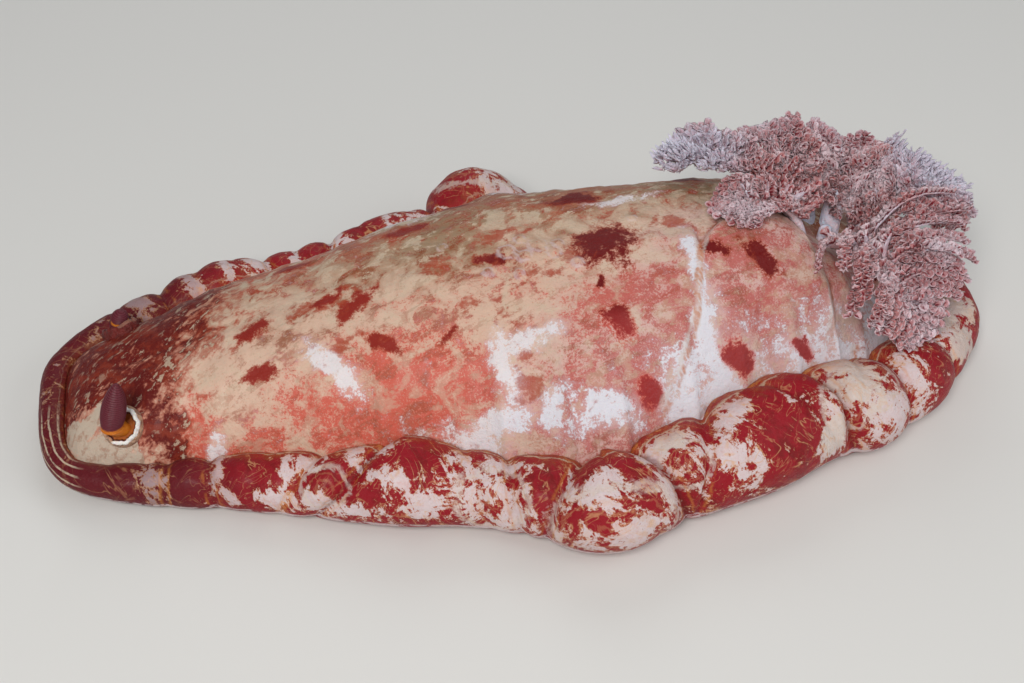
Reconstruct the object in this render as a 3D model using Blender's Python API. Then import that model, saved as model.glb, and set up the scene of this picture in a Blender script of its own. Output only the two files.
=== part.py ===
"""A Spanish dancer sea slug at life size, resting on its foot with the edge of its mantle rolled up.

Metres, +Z up. The head points to -X, the animal's left side to -Y, and the sole of the foot is at Z = 0.
Sizes are in millimetres in the constants and become metres where the points are placed.
"""

import math
import random

import bmesh
import bpy
import numpy as np
from mathutils import Vector
from mathutils.bvhtree import BVHTree

MM = 0.001
GAP = 0.3
LEFT, RIGHT = -1, 1
AXIS_Y = 9.0
CENTRE_X, CENTRE_Y = 5.57, 5.88

# Plan of the rolled margin, head to tail: place along the body, reach of the roll's centre line to the
# left and to the right of the body's axis, and the roll's radius on the left and on the right.
STATIONS = (
    (-142, 25, 24, 4.0, 5.5),
    (-123, 34, 35, 6.3, 8.5),
    (-95, 40, 47, 8.5, 9.5),
    (-60, 51, 52, 10.4, 10.0),
    (-25, 60, 60, 11.4, 10.5),
    (12, 73, 66, 12.8, 11.2),
    (50, 67, 61, 15.0, 10.0),
    (80, 57, 58, 15.6, 10.0),
    (108, 50, 53, 13.6, 10.0),
    (128, 40, 46, 12.0, 10.0),
    (144, 26, 33, 10.0, 9.5),
)
HEAD_END, TAIL_END = -146.5, 152.0
SIDE_STEPS = 56

# Broad lobes of the roll: side, place, half length, push outwards, gain in radius.
LOBES = (
    (LEFT, -42, 14, 0.0, 2.6),
    (LEFT, 14, 12, 4.0, 2.2),
    (LEFT, 66, 14, 1.0, 1.2),
    (LEFT, 101, 8, 3.0, 1.0),
    (LEFT, 122, 9, 1.0, 1.0),
    (RIGHT, -92, 13, 0.0, 1.2),
    (RIGHT, -33, 14, 2.0, 1.0),
    (RIGHT, 2, 12, 6.0, 3.6),
    (RIGHT, 52, 16, 0.0, 0.8),
    (RIGHT, 100, 14, 1.0, 1.0),
)
# Creases that cross the roll between its folds: side and place.
CREASES = (
    (LEFT, -112),
    (LEFT, -99),
    (LEFT, -70),
    (LEFT, -53),
    (LEFT, -13),
    (LEFT, 4),
    (LEFT, 28),
    (LEFT, 46),
    (LEFT, 88),
    (LEFT, 112),
    (LEFT, 134),
    (RIGHT, -110),
    (RIGHT, -74),
    (RIGHT, -52),
    (RIGHT, -14),
    (RIGHT, 24),
    (RIGHT, 76),
    (RIGHT, 118),
    (RIGHT, 136),
)
CREASE_DEPTH, CREASE_HALF = 0.24, 4.0
ROLL_SIDES = 10
ROLL_HEIGHT_SHARE = 0.94
WALL_SHARE, GROOVE_SHARE = 0.72, 0.35
FRONT_LIFT, FRONT_LIFT_START, FRONT_LIFT_LENGTH = 4.5, -108, 40

# Crest of the back: place along the body and height above the floor.
CREST = (
    (-123, 24),
    (-95, 33),
    (-60, 42),
    (-25, 50),
    (15, 55),
    (50, 57),
    (80, 54),
    (98, 46),
    (115, 35),
    (138, 23),
)
SPINE_SHARE = 0.84
UNDERSIDE = 7.0
DOME_POWER, DOME_ROUND = 2.2, 1 / 1.35
ACROSS_SHARES = (0.0, 0.22, 0.42, 0.6, 0.76, 0.89, 0.97, 1.0)
# Swells and hollows of the back: place along, place across, radius and height. The last is the gill pit.
SWELLS = (
    (80, -16, 22, 4.5),
    (-30, 30, 30, 2.0),
    (-70, -8, 26, 1.5),
    (106, 6, 13, -4.0),
)
BACK_CUTS = (
    ("head_mantle", None, -96),
    ("back_front", -96, -20),
    ("back_middle", -20, 62),
    ("back_rear", 62, None),
)
# The roll's lengths, each from its own crease to the next one round the body.
ROLL_CUTS = (
    ("margin_left_front", LEFT, -112),
    ("margin_left_middle", LEFT, -53),
    ("margin_left_rear", LEFT, 28),
    ("margin_left_tail", LEFT, 88),
    ("margin_tail_left", LEFT, 134),
    ("margin_tail_right", RIGHT, TAIL_END),
    ("margin_right_tail", RIGHT, 136),
    ("margin_right_rear", RIGHT, 76),
    ("margin_right_middle", RIGHT, 24),
    ("margin_right_front", RIGHT, -52),
    ("margin_head_right", RIGHT, -110),
    ("margin_head_left", LEFT, HEAD_END),
)

# The foot and the tail, its rear end: place along the body and half width.
FOOT = ((-109.7, 15), (-95, 23), (-60, 33), (0, 41), (50, 43), (98, 35))
TAIL = ((98 + GAP, 35), (112, 29), (124, 21), (132, 12))
FOOT_TOP, FOOT_EDGE = UNDERSIDE - GAP, 1.6
# The head below the front of the mantle: place along the body and half width.
HEAD = ((-138, 8), (-136, 12), (-131, 15), (-122, 15), (-110, 15))
HEAD_BOTTOM = 0.4
# Lips round the mouth: place along the body, half width and half height, turning in at the front.
LIPS = (
    (-138 - GAP, 7.4, 2.4),
    (-139.6, 7.2, 2.3),
    (-140.8, 5.6, 1.7),
    (-140.5, 4.2, 0.8),
    (-139.6, 3.6, 0.45),
)
LIPS_Z = 3.4
# An oral tentacle, a flat lobe: place along the body, offset from the axis, half width, half thickness.
TENTACLE = (
    (-126.5, 15 + GAP, 4.0, 1.1),
    (-127.4, 18.0, 4.2, 1.1),
    (-131.5, 20.4, 4.5, 1.0),
    (-137.0, 19.8, 4.3, 0.9),
    (-141.6, 15.8, 3.2, 0.7),
)
TENTACLE_TIP = (-144.4, 10.5)
TENTACLE_Z = 1.6

# A rhinophore: where it stands, its sheath's ring, and its lamellate club.
RHINO_X, RHINO_OFFSET = -123.5, 22.0
SHEATH_PROFILE = ((6.3, -3.0), (6.2, 0.6), (5.9, 2.0), (5.3, 2.7), (4.8, 2.2), (4.5, 0.5), (4.5, -3.0))
SHEATH_STEPS = 22
STALK_RADIUS = 3.9
RHINO_SIDES = 10
# Name, side, number of lamellae, club's radius, and where its foot and its tip lie from the middle of the
# sheath: along the body, outwards from the axis and up. The right one is half drawn in.
RHINOPHORES = (
    ("rhinophore_left", LEFT, 8, 3.9, (-2.6, 3.0, 3.2), (1.2, 1.4, 18.5)),
    ("rhinophore_right", RIGHT, 2, 2.8, (0.0, 2.0, 3.0), (0.4, 3.4, 6.4)),
)
LAMELLA_DEPTH = 0.16

# The gills: the anus in their middle, the ring that their roots stand on, and each plume's direction
# from the middle, half spread, reach, height over the root, height of its tip, and seed of its leaflets.
CROWN = (106.0, 6.0)
ROOT_RING, ROOT_SUNK = 8.5, 5.0
PLUMES = (
    ("gill_1", 146, 18, 50, 20, 54, 11),
    ("gill_2", 107, 20, 37, 22, 54, 9),
    ("gill_3", 60, 25, 39, 20, 44, 11),
    ("gill_4", 10, 23, 48, 17, 37, 6),
    ("gill_5", -60, 42, 43, 11, 23, 5),
    ("gill_6", 187, 22, 35, 17, 56, 6),
)
# The anal papilla's sections: height and radius.
PAPILLA = ((-3.0, 2.6), (5.5, 2.1), (7.0, 1.2))
PAPILLA_SIDES = 10
# What a gill keeps from what lies below it and from the edges of its share of the crown.
CLEAR, APART = 2.0, 1.0
# A gill's trunk: place along the plume, half width and half thickness.
TRUNK = ((0, 3.4, 2.4), (0.16, 3.2, 2.2), (0.34, 2.8, 1.7), (0.54, 2.3, 1.3), (0.74, 1.7, 1.0))
# Its branches: how many on each side, where the first and the last stand and their angle to the trunk.
# Each is a flap with a notched edge: places along it, half width and half thickness.
BRANCHES, FIRST_BRANCH, LAST_BRANCH, BRANCH_ANGLE = 4, 0.3, 0.9, 58
FLAP = ((0, 1.3, 0.9), (0.25, 4.2, 0.8), (0.45, 3.2, 0.75), (0.72, 5.0, 0.7))
FLAP_LENGTH, SHORTEST_FLAP = 13.0, 9.0
# Corners of a flap's section and of a leaflet's, as shares of their half widths and thicknesses.
FLAP_SECTION = ((1, 0), (0, 1), (-1, 0), (0, -1))
LEAFLET_SECTION = ((1, 0), (0, 1), (-1, 0))
# Leaflets that stand on a flap: place along it and side, and sections: height, half width, thickness.
LEAFLET_PLACES = ((0.3, 1), (0.56, -1), (0.82, 1))
LEAFLET_HEIGHT = 6.8
LEAFLET = ((-0.35, 1.3, 0.9), (4.4, 2.7, 0.8))


def eased(x, table, column=1):
    """Smooth curve through a table's column, flat past its ends."""
    xs = np.array([row[0] for row in table], float)
    ys = np.array([row[column] for row in table], float)
    slopes = np.gradient(ys, xs)
    x = np.clip(x, xs[0], xs[-1])
    k = np.clip(np.searchsorted(xs, x) - 1, 0, len(xs) - 2)
    step = xs[k + 1] - xs[k]
    t = (x - xs[k]) / step
    start = ys[k] * (1 + 2 * t) * (1 - t) ** 2 + slopes[k] * step * t * (1 - t) ** 2
    end = ys[k + 1] * t * t * (3 - 2 * t) + slopes[k + 1] * step * t * t * (t - 1)
    return start + end


def along(phi):
    """Place along the body at an angle that runs from 0 at the head's end to pi at the tail's."""
    middle, half = (HEAD_END + TAIL_END) / 2, (TAIL_END - HEAD_END) / 2
    return middle - half * np.cos(phi)


def angle_at(x):
    """The angle whose place along the body is x."""
    middle, half = (HEAD_END + TAIL_END) / 2, (TAIL_END - HEAD_END) / 2
    return np.arccos(np.clip((middle - x) / half, -1, 1))


def blunt(phi):
    """How the plan closes at the head and the tail."""
    return np.sqrt(np.maximum(np.sin(phi), 0))


def lobe_sum(x, side, column):
    """What the roll's lobes add at x, from that column of their table."""
    total = np.zeros_like(x)
    for lobe in LOBES:
        total += (side == lobe[0]) * lobe[column] * np.exp(-(((x - lobe[1]) / lobe[2]) ** 2))
    return total


def crease(x, side):
    """1 in the middle of a crease across the roll, falling to 0 beside it."""
    total = np.zeros_like(x)
    for which, place in CREASES:
        total = np.maximum(total, (side == which) * np.exp(-(((x - place) / CREASE_HALF) ** 2)))
    return total


def reach(phi, side):
    """Distance of the roll's centre line from the body's axis."""
    angles = angle_at(np.array([row[0] for row in STATIONS], float))
    value = np.zeros_like(phi)
    for which, column in ((LEFT, 1), (RIGHT, 2)):
        table = [(a, row[column] / blunt(a)) for a, row in zip(angles, STATIONS)]
        value = np.where(side == which, eased(phi, table), value)
    return (value + lobe_sum(along(phi), side, 3)) * blunt(phi)


def roll_radius(phi, side):
    """Radius of the roll, with its lobes and creases. The two sides agree at the head and the tail."""
    x = along(phi)
    left, right = eased(x, STATIONS, 3), eased(x, STATIONS, 4)
    mean = (left + right) / 2
    own = np.where(side == LEFT, left, right)
    share = np.clip(blunt(phi) * 1.4, 0, 1)
    plain = mean + (own - mean) * share + lobe_sum(x, side, 4) * share
    return plain * (1 - CREASE_DEPTH * crease(x, side) * share)


def roll_lift(phi):
    """How far the roll is raised at the head's front edge, where the mantle is held off the floor."""
    return FRONT_LIFT * np.clip((FRONT_LIFT_START - along(phi)) / FRONT_LIFT_LENGTH, 0, 1) ** 1.3


def station_angles():
    """Angles along one side whose points on the rim lie evenly apart."""
    dense = np.linspace(0, math.pi, 1500)
    length = np.zeros_like(dense)
    for side in (LEFT, RIGHT):
        x, y = along(dense), reach(dense, np.full(dense.shape, side))
        length[1:] += np.cumsum(np.hypot(np.diff(x), np.diff(y)))
    return np.interp(np.linspace(0, length[-1], SIDE_STEPS + 1), length, dense)


class Rim:
    """The rolled margin's line: stations from the head down the left side and back up the right one."""

    def __init__(self):
        angles = station_angles()
        self.phi = np.concatenate([angles, angles[-2:0:-1]])
        self.side = np.concatenate([np.full(SIDE_STEPS + 1, LEFT), np.full(SIDE_STEPS - 1, RIGHT)])
        self.x = along(self.phi)
        self.y = AXIS_Y + self.side * reach(self.phi, self.side)
        dx = np.roll(self.x, -1) - np.roll(self.x, 1)
        dy = np.roll(self.y, -1) - np.roll(self.y, 1)
        size = np.hypot(dx, dy)
        self.out_x, self.out_y = dy / size, -dx / size
        self.radius = roll_radius(self.phi, self.side)
        self.centre_z = ROLL_HEIGHT_SHARE * self.radius + roll_lift(self.phi)
        self.wall_x = self.x - self.out_x * WALL_SHARE * self.radius
        self.wall_y = self.y - self.out_y * WALL_SHARE * self.radius
        self.wall_z = self.centre_z + GROOVE_SHARE * self.radius
        middle = (HEAD_END + TAIL_END) / 2
        self.spine_x = middle + SPINE_SHARE * (self.x - middle)
        self.crest = np.maximum(eased(self.spine_x, CREST), self.wall_z + 1)
        self.count = len(self.phi)

    def nearest(self, side, place):
        """The station on a side that lies nearest to a place along the body."""
        ends = (self.phi == 0) | (self.phi == math.pi)
        on_side = (self.side == side) | ends
        return int(np.argmin(np.where(on_side, np.abs(self.x - place), 1e9)))


def back_point(rim, j, share):
    """A point of the back: share 0 on the crest line, 1 at the groove beside the roll."""
    x = rim.spine_x[j] + (rim.wall_x[j] - rim.spine_x[j]) * share
    y = AXIS_Y + (rim.wall_y[j] - AXIS_Y) * share
    dome = max(0.0, 1 - share**DOME_POWER) ** DOME_ROUND
    z = rim.wall_z[j] + (rim.crest[j] - rim.wall_z[j]) * dome
    for swell_x, swell_y, radius, height in SWELLS:
        away = math.hypot(x - swell_x, y - swell_y) / radius
        z += height * (1 - share**6) * math.exp(-away * away)
    return x, y, z


def in_metres(point):
    """A point in millimetres on the body's own axes as metres from the part's origin."""
    return Vector(((point[0] - CENTRE_X) * MM, (point[1] - CENTRE_Y) * MM, point[2] * MM))


def clear_scene():
    """Removes what the file holds when it opens."""
    for obj in list(bpy.data.objects):
        bpy.data.objects.remove(obj)


def material(name, colour, roughness):
    """A plain finish in the part's own colour."""
    made = bpy.data.materials.new(name)
    made.use_nodes = True
    shader = made.node_tree.nodes["Principled BSDF"]
    shader.inputs["Base Color"].default_value = (*colour, 1)
    shader.inputs["Roughness"].default_value = roughness
    shader.inputs["Metallic"].default_value = 0
    made.diffuse_color = (*colour, 1)
    return made


def object_from(name, bm, finish):
    """Turns a bmesh into a named object."""
    bmesh.ops.recalc_face_normals(bm, faces=bm.faces)
    mesh = bpy.data.meshes.new(name)
    bm.to_mesh(mesh)
    bm.free()
    obj = bpy.data.objects.new(name, mesh)
    bpy.context.scene.collection.objects.link(obj)
    mesh.materials.append(finish)
    mesh.shade_smooth()
    mesh.set_sharp_from_angle(angle=math.radians(50))
    return obj


def fill_holes(bm):
    """Closes every open edge loop."""
    bmesh.ops.holes_fill(bm, edges=[edge for edge in bm.edges if edge.is_boundary], sides=0)


def extruded_ring(bm, ring):
    """A copy of a ring of vertices, joined to it by faces, in the same order."""
    count = len(ring)
    edges = [bm.edges.get((ring[i], ring[(i + 1) % count])) for i in range(count)]
    grown = bmesh.ops.extrude_edge_only(bm, edges=edges)["geom"]
    partner = {}
    for vertex in grown:
        if isinstance(vertex, bmesh.types.BMVert):
            for edge in vertex.link_edges:
                partner.setdefault(edge.other_vert(vertex), vertex)
    return [partner[vertex] for vertex in ring]


def swept(bm, rings, tip=None):
    """A closed form through rings of points in millimetres, ending flat or in a tip."""
    ring = bmesh.ops.create_circle(bm, cap_ends=True, segments=len(rings[0]), radius=1)["verts"]
    for vertex, point in zip(ring, rings[0]):
        vertex.co = in_metres(point)
    for points in rings[1:]:
        ring = extruded_ring(bm, ring)
        for vertex, point in zip(ring, points):
            vertex.co = in_metres(point)
    if tip is None:
        fill_holes(bm)
    else:
        bmesh.ops.pointmerge(bm, verts=extruded_ring(bm, ring), merge_co=in_metres(tip))


def back_mesh(rim):
    """The back as one closed body: a grid drawn over the dome, its rim let down to the underside."""
    bm = bmesh.new()
    shares = [-share for share in reversed(ACROSS_SHARES[1:])] + list(ACROSS_SHARES)
    rows, columns = SIDE_STEPS + 1, len(shares)
    made = bmesh.ops.create_grid(bm, x_segments=columns - 1, y_segments=rows - 1, size=0.5)["verts"]
    for vertex in made:
        share = shares[round((vertex.co.x + 0.5) * (columns - 1))]
        row = round((vertex.co.y + 0.5) * (rows - 1))
        station = row if share <= 0 else -row % rim.count
        vertex.co = in_metres(back_point(rim, station, abs(share)))
    bmesh.ops.remove_doubles(bm, verts=bm.verts, dist=0.02 * MM)
    rim_edges = [edge for edge in bm.edges if edge.is_boundary]
    for vertex in bmesh.ops.extrude_edge_only(bm, edges=rim_edges)["geom"]:
        if isinstance(vertex, bmesh.types.BMVert):
            vertex.co.z = UNDERSIDE * MM
    fill_holes(bm)
    bmesh.ops.recalc_face_normals(bm, faces=bm.faces)
    return bm


def cut_across(bm, place, keep_rear):
    """Cuts a body across at a place along it and keeps the part behind or before the cut."""
    shift = GAP / 2 if keep_rear else -GAP / 2
    bmesh.ops.bisect_plane(
        bm,
        geom=bm.verts[:] + bm.edges[:] + bm.faces[:],
        plane_co=in_metres((place + shift, 0, 0)),
        plane_no=(1, 0, 0),
        clear_inner=keep_rear,
        clear_outer=not keep_rear,
    )
    fill_holes(bm)


def back_pieces(rim, finish):
    """The back in four lengths, parted by thin cuts across the body."""
    for name, start, end in BACK_CUTS:
        bm = back_mesh(rim)
        if start is not None:
            cut_across(bm, start, True)
        if end is not None:
            cut_across(bm, end, False)
        object_from(name, bm, finish)


def roll_ring(rim, station, shift=0.0):
    """The roll's section at a station, flat against the back's wall and where it lies on the floor."""
    j = station % rim.count
    radius = rim.radius[j]
    points = []
    for k in range(ROLL_SIDES):
        turn = 2 * math.pi * k / ROLL_SIDES
        out = max(radius * math.cos(turn), GAP - WALL_SHARE * radius)
        x = rim.x[j] + rim.out_x[j] * out - rim.out_y[j] * shift
        y = rim.y[j] + rim.out_y[j] * out + rim.out_x[j] * shift
        points.append((x, y, max(0.0, rim.centre_z[j] + radius * math.sin(turn))))
    return points


def roll_mesh(rim, start, end):
    """The roll from one station to another, half a gap short at each."""
    rings = [roll_ring(rim, start, GAP / 2)]
    rings += [roll_ring(rim, station) for station in range(start + 1, end)]
    rings.append(roll_ring(rim, end, -GAP / 2))
    bm = bmesh.new()
    swept(bm, rings)
    return bm


def roll_pieces(rim, finish):
    """The rolled margin in lengths that meet at its creases."""
    marks = [rim.nearest(side, place) for _, side, place in ROLL_CUTS]
    for (name, _, _), start, end in zip(ROLL_CUTS, marks, marks[1:] + marks[:1]):
        if end <= start:
            end += rim.count
        object_from(name, roll_mesh(rim, start, end), finish)


class Ground:
    """The upper surface of the back and of the roll, for the pieces that stand on it or hang over it."""

    def __init__(self, rim):
        back = back_mesh(rim)
        roll = roll_mesh(rim, 0, rim.count)
        self.back = BVHTree.FromBMesh(back)
        self.roll = BVHTree.FromBMesh(roll)
        back.free()
        roll.free()

    def normal(self, x, y):
        """The back's height in millimetres and its direction outwards at a place in plan."""
        above = in_metres((x, y, 200))
        place, normal, _, _ = self.back.ray_cast(above, Vector((0, 0, -1)))
        return place.z / MM, normal

    def height(self, x, y):
        """Height in millimetres of what lies below a place in plan."""
        above = in_metres((x, y, 200))
        heights = [0.0]
        for tree in (self.back, self.roll):
            place = tree.ray_cast(above, Vector((0, 0, -1)))[0]
            if place is not None:
                heights.append(place.z / MM)
        return max(heights)


def seat_cutter(rim):
    """The back grown by the gap, which cuts the feet of the pieces that stand on it."""
    bm = back_mesh(rim)
    bm.normal_update()
    for vertex in bm.verts:
        vertex.co += vertex.normal * (GAP + 0.05) * MM
    cutter = object_from("seat_cutter", bm, material("cutter", (0.5, 0.5, 0.5), 0.5))
    cutter.hide_render = True
    cutter.display_type = "WIRE"
    return cutter


def seated(obj, cutter):
    """Cuts an object's foot to the back's own shape, a gap above it."""
    cut = obj.modifiers.new("seat", "BOOLEAN")
    cut.operation = "DIFFERENCE"
    cut.solver = "EXACT"
    cut.object = cutter


def slab_rings(table, bottom):
    """Sections of a flat body with rounded edges below the back, from places along and half widths."""
    rings = []
    for x, half in table:
        inner = half - FOOT_EDGE
        outline = (
            (-inner, bottom),
            (inner, bottom),
            (half, bottom + FOOT_EDGE),
            (half, FOOT_TOP - FOOT_EDGE),
            (inner, FOOT_TOP),
            (-inner, FOOT_TOP),
            (-half, FOOT_TOP - FOOT_EDGE),
            (-half, bottom + FOOT_EDGE),
        )
        rings.append([(x, AXIS_Y + y, z) for y, z in outline])
    return rings


def oval(x, half_width, half_height, z, sides=12):
    """An upright oval section across the body."""
    turns = [2 * math.pi * k / sides for k in range(sides)]
    return [(x, AXIS_Y + half_width * math.cos(turn), z + half_height * math.sin(turn)) for turn in turns]


def underside_pieces(sole, lip):
    """The foot, the tail, the head, the lips and the two oral tentacles, all below the mantle."""
    for name, table, bottom in (("foot", FOOT, 0), ("tail", TAIL, 0), ("head", HEAD, HEAD_BOTTOM)):
        bm = bmesh.new()
        swept(bm, slab_rings(table, bottom))
        object_from(name, bm, sole)
    bm = bmesh.new()
    swept(bm, [oval(x, half_width, half_height, LIPS_Z) for x, half_width, half_height in LIPS])
    object_from("mouth", bm, lip)
    for name, side in (("oral_tentacle_left", LEFT), ("oral_tentacle_right", RIGHT)):
        bm = bmesh.new()
        swept(bm, tentacle_rings(side), (TENTACLE_TIP[0], AXIS_Y + side * TENTACLE_TIP[1], TENTACLE_Z))
        object_from(name, bm, lip)


def tentacle_rings(side):
    """Flat six-sided sections along a tentacle, its root facing the head's side."""
    middles = [Vector((x, AXIS_Y + side * offset, TENTACLE_Z)) for x, offset, _, _ in TENTACLE]
    rings = []
    for k, (_, _, half, thick) in enumerate(TENTACLE):
        ahead = middles[min(k + 1, len(middles) - 1)] - middles[max(k - 1, 0)]
        across = Vector((1, 0, 0)) if k == 0 else side * ahead.cross(Vector((0, 0, 1))).normalized()
        ring = []
        for out, up in ((-1, 0), (-0.6, 1), (0.6, 1), (1, 0), (0.6, -1), (-0.6, -1)):
            ring.append(middles[k] + across * half * out + Vector((0, 0, thick * up)))
        rings.append(ring)
    return rings


def rhino_place(ground, side):
    """Where a rhinophore stands on the back, and the back's direction there."""
    y = AXIS_Y + side * RHINO_OFFSET
    height, normal = ground.normal(RHINO_X, y)
    return Vector((RHINO_X, y, height)), normal


def sheath(name, side, ground, cutter, finish):
    """The raised ring that a rhinophore stands in, spun about the back's own direction."""
    place, normal = rhino_place(ground, side)
    across = normal.cross(Vector((1, 0, 0))).normalized()
    bm = bmesh.new()
    points = [in_metres(place + across * radius + normal * height) for radius, height in SHEATH_PROFILE]
    ring = bmesh.ops.create_circle(bm, cap_ends=False, segments=len(points), radius=1)["verts"]
    for vertex, point in zip(ring, points):
        vertex.co = point
    bmesh.ops.spin(
        bm,
        geom=bm.verts[:] + bm.edges[:],
        cent=in_metres(place),
        axis=normal,
        angle=2 * math.pi,
        steps=SHEATH_STEPS,
        use_merge=True,
    )
    seated(object_from(name, bm, finish), cutter)


def rhinophore(name, side, lamellae, radius, foot, tip, ground, cutter, finish):
    """A stalk in its sheath and a club with raised lamellae, as one body."""
    place, normal = rhino_place(ground, side)
    upright = Vector((0, 0, 1))
    club_foot = place + Vector((foot[0], side * foot[1], foot[2]))
    club_tip = place + Vector((tip[0], side * tip[1], tip[2]))
    sections = [(place - normal * 3.0, STALK_RADIUS), (place + normal * 1.6, STALK_RADIUS)]
    steps = 2 * lamellae
    for step in range(steps):
        share = step / steps
        swell = math.sin(math.pi * (0.3 + 0.7 * share)) ** 0.6
        groove = 1 - LAMELLA_DEPTH * (step % 2)
        sections.append((club_foot.lerp(club_tip, share), radius * swell * groove))
    rings = []
    for k, (middle, size) in enumerate(sections):
        facing = normal if k < 2 else upright
        right = facing.cross(Vector((0, 1, 0))).normalized()
        ahead = facing.cross(right)
        turns = [2 * math.pi * k / RHINO_SIDES for k in range(RHINO_SIDES)]
        rings.append([middle + (right * math.cos(turn) + ahead * math.sin(turn)) * size for turn in turns])
    bm = bmesh.new()
    swept(bm, rings, club_tip)
    seated(object_from(name, bm, finish), cutter)


class Plume:
    """The line that one gill follows from its root in the pit, up, out and over."""

    def __init__(self, row, ground):
        self.name, azimuth, spread, self.reach, self.rise, self.tip_z, seed = row
        self.draw = random.Random(seed)
        self.spread = math.radians(spread)
        turn = math.radians(azimuth)
        self.out = Vector((math.cos(turn), math.sin(turn), 0))
        self.side = Vector((-self.out.y, self.out.x, 0))
        self.ground = ground
        self.root_z = ground.height(*self.at(ROOT_RING, 0).xy)

    def at(self, radius, z):
        """The point over the plume's own direction at a distance from the crown's middle."""
        return Vector((CROWN[0], CROWN[1], 0)) + self.out * radius + Vector((0, 0, z))

    def middle(self, u):
        """The plume's middle line, from the sunk root at 0 to the tip at 1."""
        corners = (
            self.at(ROOT_RING, self.root_z - ROOT_SUNK),
            self.at(ROOT_RING + 5, self.root_z + self.rise),
            self.at(self.reach * 0.7, self.root_z + self.rise),
            self.at(self.reach, self.tip_z),
        )
        v = 1 - u
        weights = (v**3, 3 * v * v * u, 3 * v * u * u, u**3)
        return sum((corner * weight for corner, weight in zip(corners, weights)), Vector())

    def width(self, u):
        """Half width of the plume, inside its own share of the crown."""
        radius = (self.middle(u) - self.at(0, 0)).xy.length
        room = radius * math.tan(self.spread) - APART
        return max(1.2, min(room, 3.4 + 20 * math.sin(math.pi * u**1.2) ** 0.8 * (u > 0.2)))

    def frame(self, u):
        """The plume's directions along it and out of its upper face."""
        ahead = (self.middle(min(u + 0.01, 1)) - self.middle(max(u - 0.01, 0))).normalized()
        return ahead, ahead.cross(self.side).normalized()


def held(plume, point):
    """Keeps a point inside its plume's share of the crown and above what lies below."""
    offset = point - plume.at(0, 0)
    radius, across = offset.dot(plume.out), offset.dot(plume.side)
    room = max(radius, 5.0) * math.tan(plume.spread) - APART
    share = abs(across) / room
    eased_across = across / (1 + share**4) ** 0.25
    moved = point + plume.side * (eased_across - across)
    if radius > ROOT_RING + 4:
        moved.z = max(moved.z, plume.ground.height(moved.x, moved.y) + CLEAR)
    return moved


def trunk_mesh(plume):
    """The gill's flattened trunk, its foot sunk in the pit."""
    rings = []
    for u, half, thick in TRUNK:
        _, face = plume.frame(u)
        middle = plume.middle(u)
        turns = [2 * math.pi * k / 6 for k in range(6)]
        across = plume.side * half
        rings.append([held(plume, middle + across * math.cos(t)) + face * thick * math.sin(t) for t in turns])
    bm = bmesh.new()
    swept(bm, rings, held(plume, plume.middle(1)))
    return bm


def vane_mesh(plume, line, sizes, face, section):
    """A thin tapering form of one section along a line of points, ending in the line's last point."""
    rings = []
    for k, (half, thick) in enumerate(sizes):
        ahead = (line[k + 1] - line[max(k - 1, 0)]).normalized()
        across = ahead.cross(face).normalized()
        up = across.cross(ahead)
        corners = [(across * half * out, up * thick * rise) for out, rise in section]
        rings.append([held(plume, line[k] + sideways) + upwards for sideways, upwards in corners])
    bm = bmesh.new()
    swept(bm, rings, held(plume, line[-1]))
    return bm


def flap_line(plume, u, side):
    """Points of a flap from inside the trunk outwards, arched, with its upper side and its length."""
    ahead, face = plume.frame(u)
    angle = math.radians(BRANCH_ANGLE + plume.draw.uniform(-6, 6)) * abs(side)
    out = ahead * math.cos(angle) + plume.side * side * math.sin(angle)
    length = max(plume.width(u) * abs(side), SHORTEST_FLAP) * plume.draw.uniform(0.95, 1.1)
    arch = face * length * plume.draw.uniform(0.1, 0.22)
    places = [row[0] for row in FLAP] + [1.0]
    line = [plume.middle(u) + out * length * s + arch * math.sin(math.pi * s * 0.8) for s in places]
    return line, face, length


def leaflets(plume, line, face):
    """The leaflets that stand on one flap, leaning to either side in turn."""
    made, draw = [], plume.draw
    ahead = (line[-1] - line[0]).normalized()
    across = ahead.cross(face).normalized()
    places = [row[0] for row in FLAP] + [1.0]
    for stand, side in LEAFLET_PLACES:
        k = max(i for i, at in enumerate(places[:-1]) if at <= stand)
        root = line[k].lerp(line[k + 1], (stand - places[k]) / (places[k + 1] - places[k]))
        root += across * side * 0.9
        out = (ahead * draw.uniform(0.1, 0.4) + across * side * draw.uniform(0.4, 0.8) + face).normalized()
        curl = (ahead * draw.uniform(0.1, 0.5) - across * side * 0.2) * 2.0
        size = draw.uniform(0.85, 1.15)
        heights = [row[0] for row in LEAFLET] + [LEAFLET_HEIGHT]
        points = [root + out * height * size + curl * (height / LEAFLET_HEIGHT) ** 2 for height in heights]
        sizes = [(half * size, thick) for _, half, thick in LEAFLET]
        lean = across * side * 0.7 - face * 0.3 + ahead * 0.5
        made.append(vane_mesh(plume, points, sizes, lean, LEAFLET_SECTION))
    return made


def evaluated(obj):
    """The mesh that an object's modifiers give."""
    return bpy.data.meshes.new_from_object(obj.evaluated_get(bpy.context.evaluated_depsgraph_get()))


def is_closed(mesh):
    """True where every edge of a mesh joins two faces."""
    bm = bmesh.new()
    bm.from_mesh(mesh)
    closed = all(edge.is_manifold for edge in bm.edges)
    bm.free()
    return closed


def keep_largest(obj):
    """Keeps only the largest closed surface of a mesh."""
    bm = bmesh.new()
    bm.from_mesh(obj.data)
    left = set(bm.verts)
    groups = []
    while left:
        group, front = set(), [left.pop()]
        while front:
            vertex = front.pop()
            group.add(vertex)
            for edge in vertex.link_edges:
                other = edge.other_vert(vertex)
                if other in left:
                    left.remove(other)
                    front.append(other)
        groups.append(group)
    largest = max(groups, key=len)
    spare = [vertex for group in groups if group is not largest for vertex in group]
    bmesh.ops.delete(bm, geom=spare, context="VERTS")
    bm.to_mesh(obj.data)
    bm.free()


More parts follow.
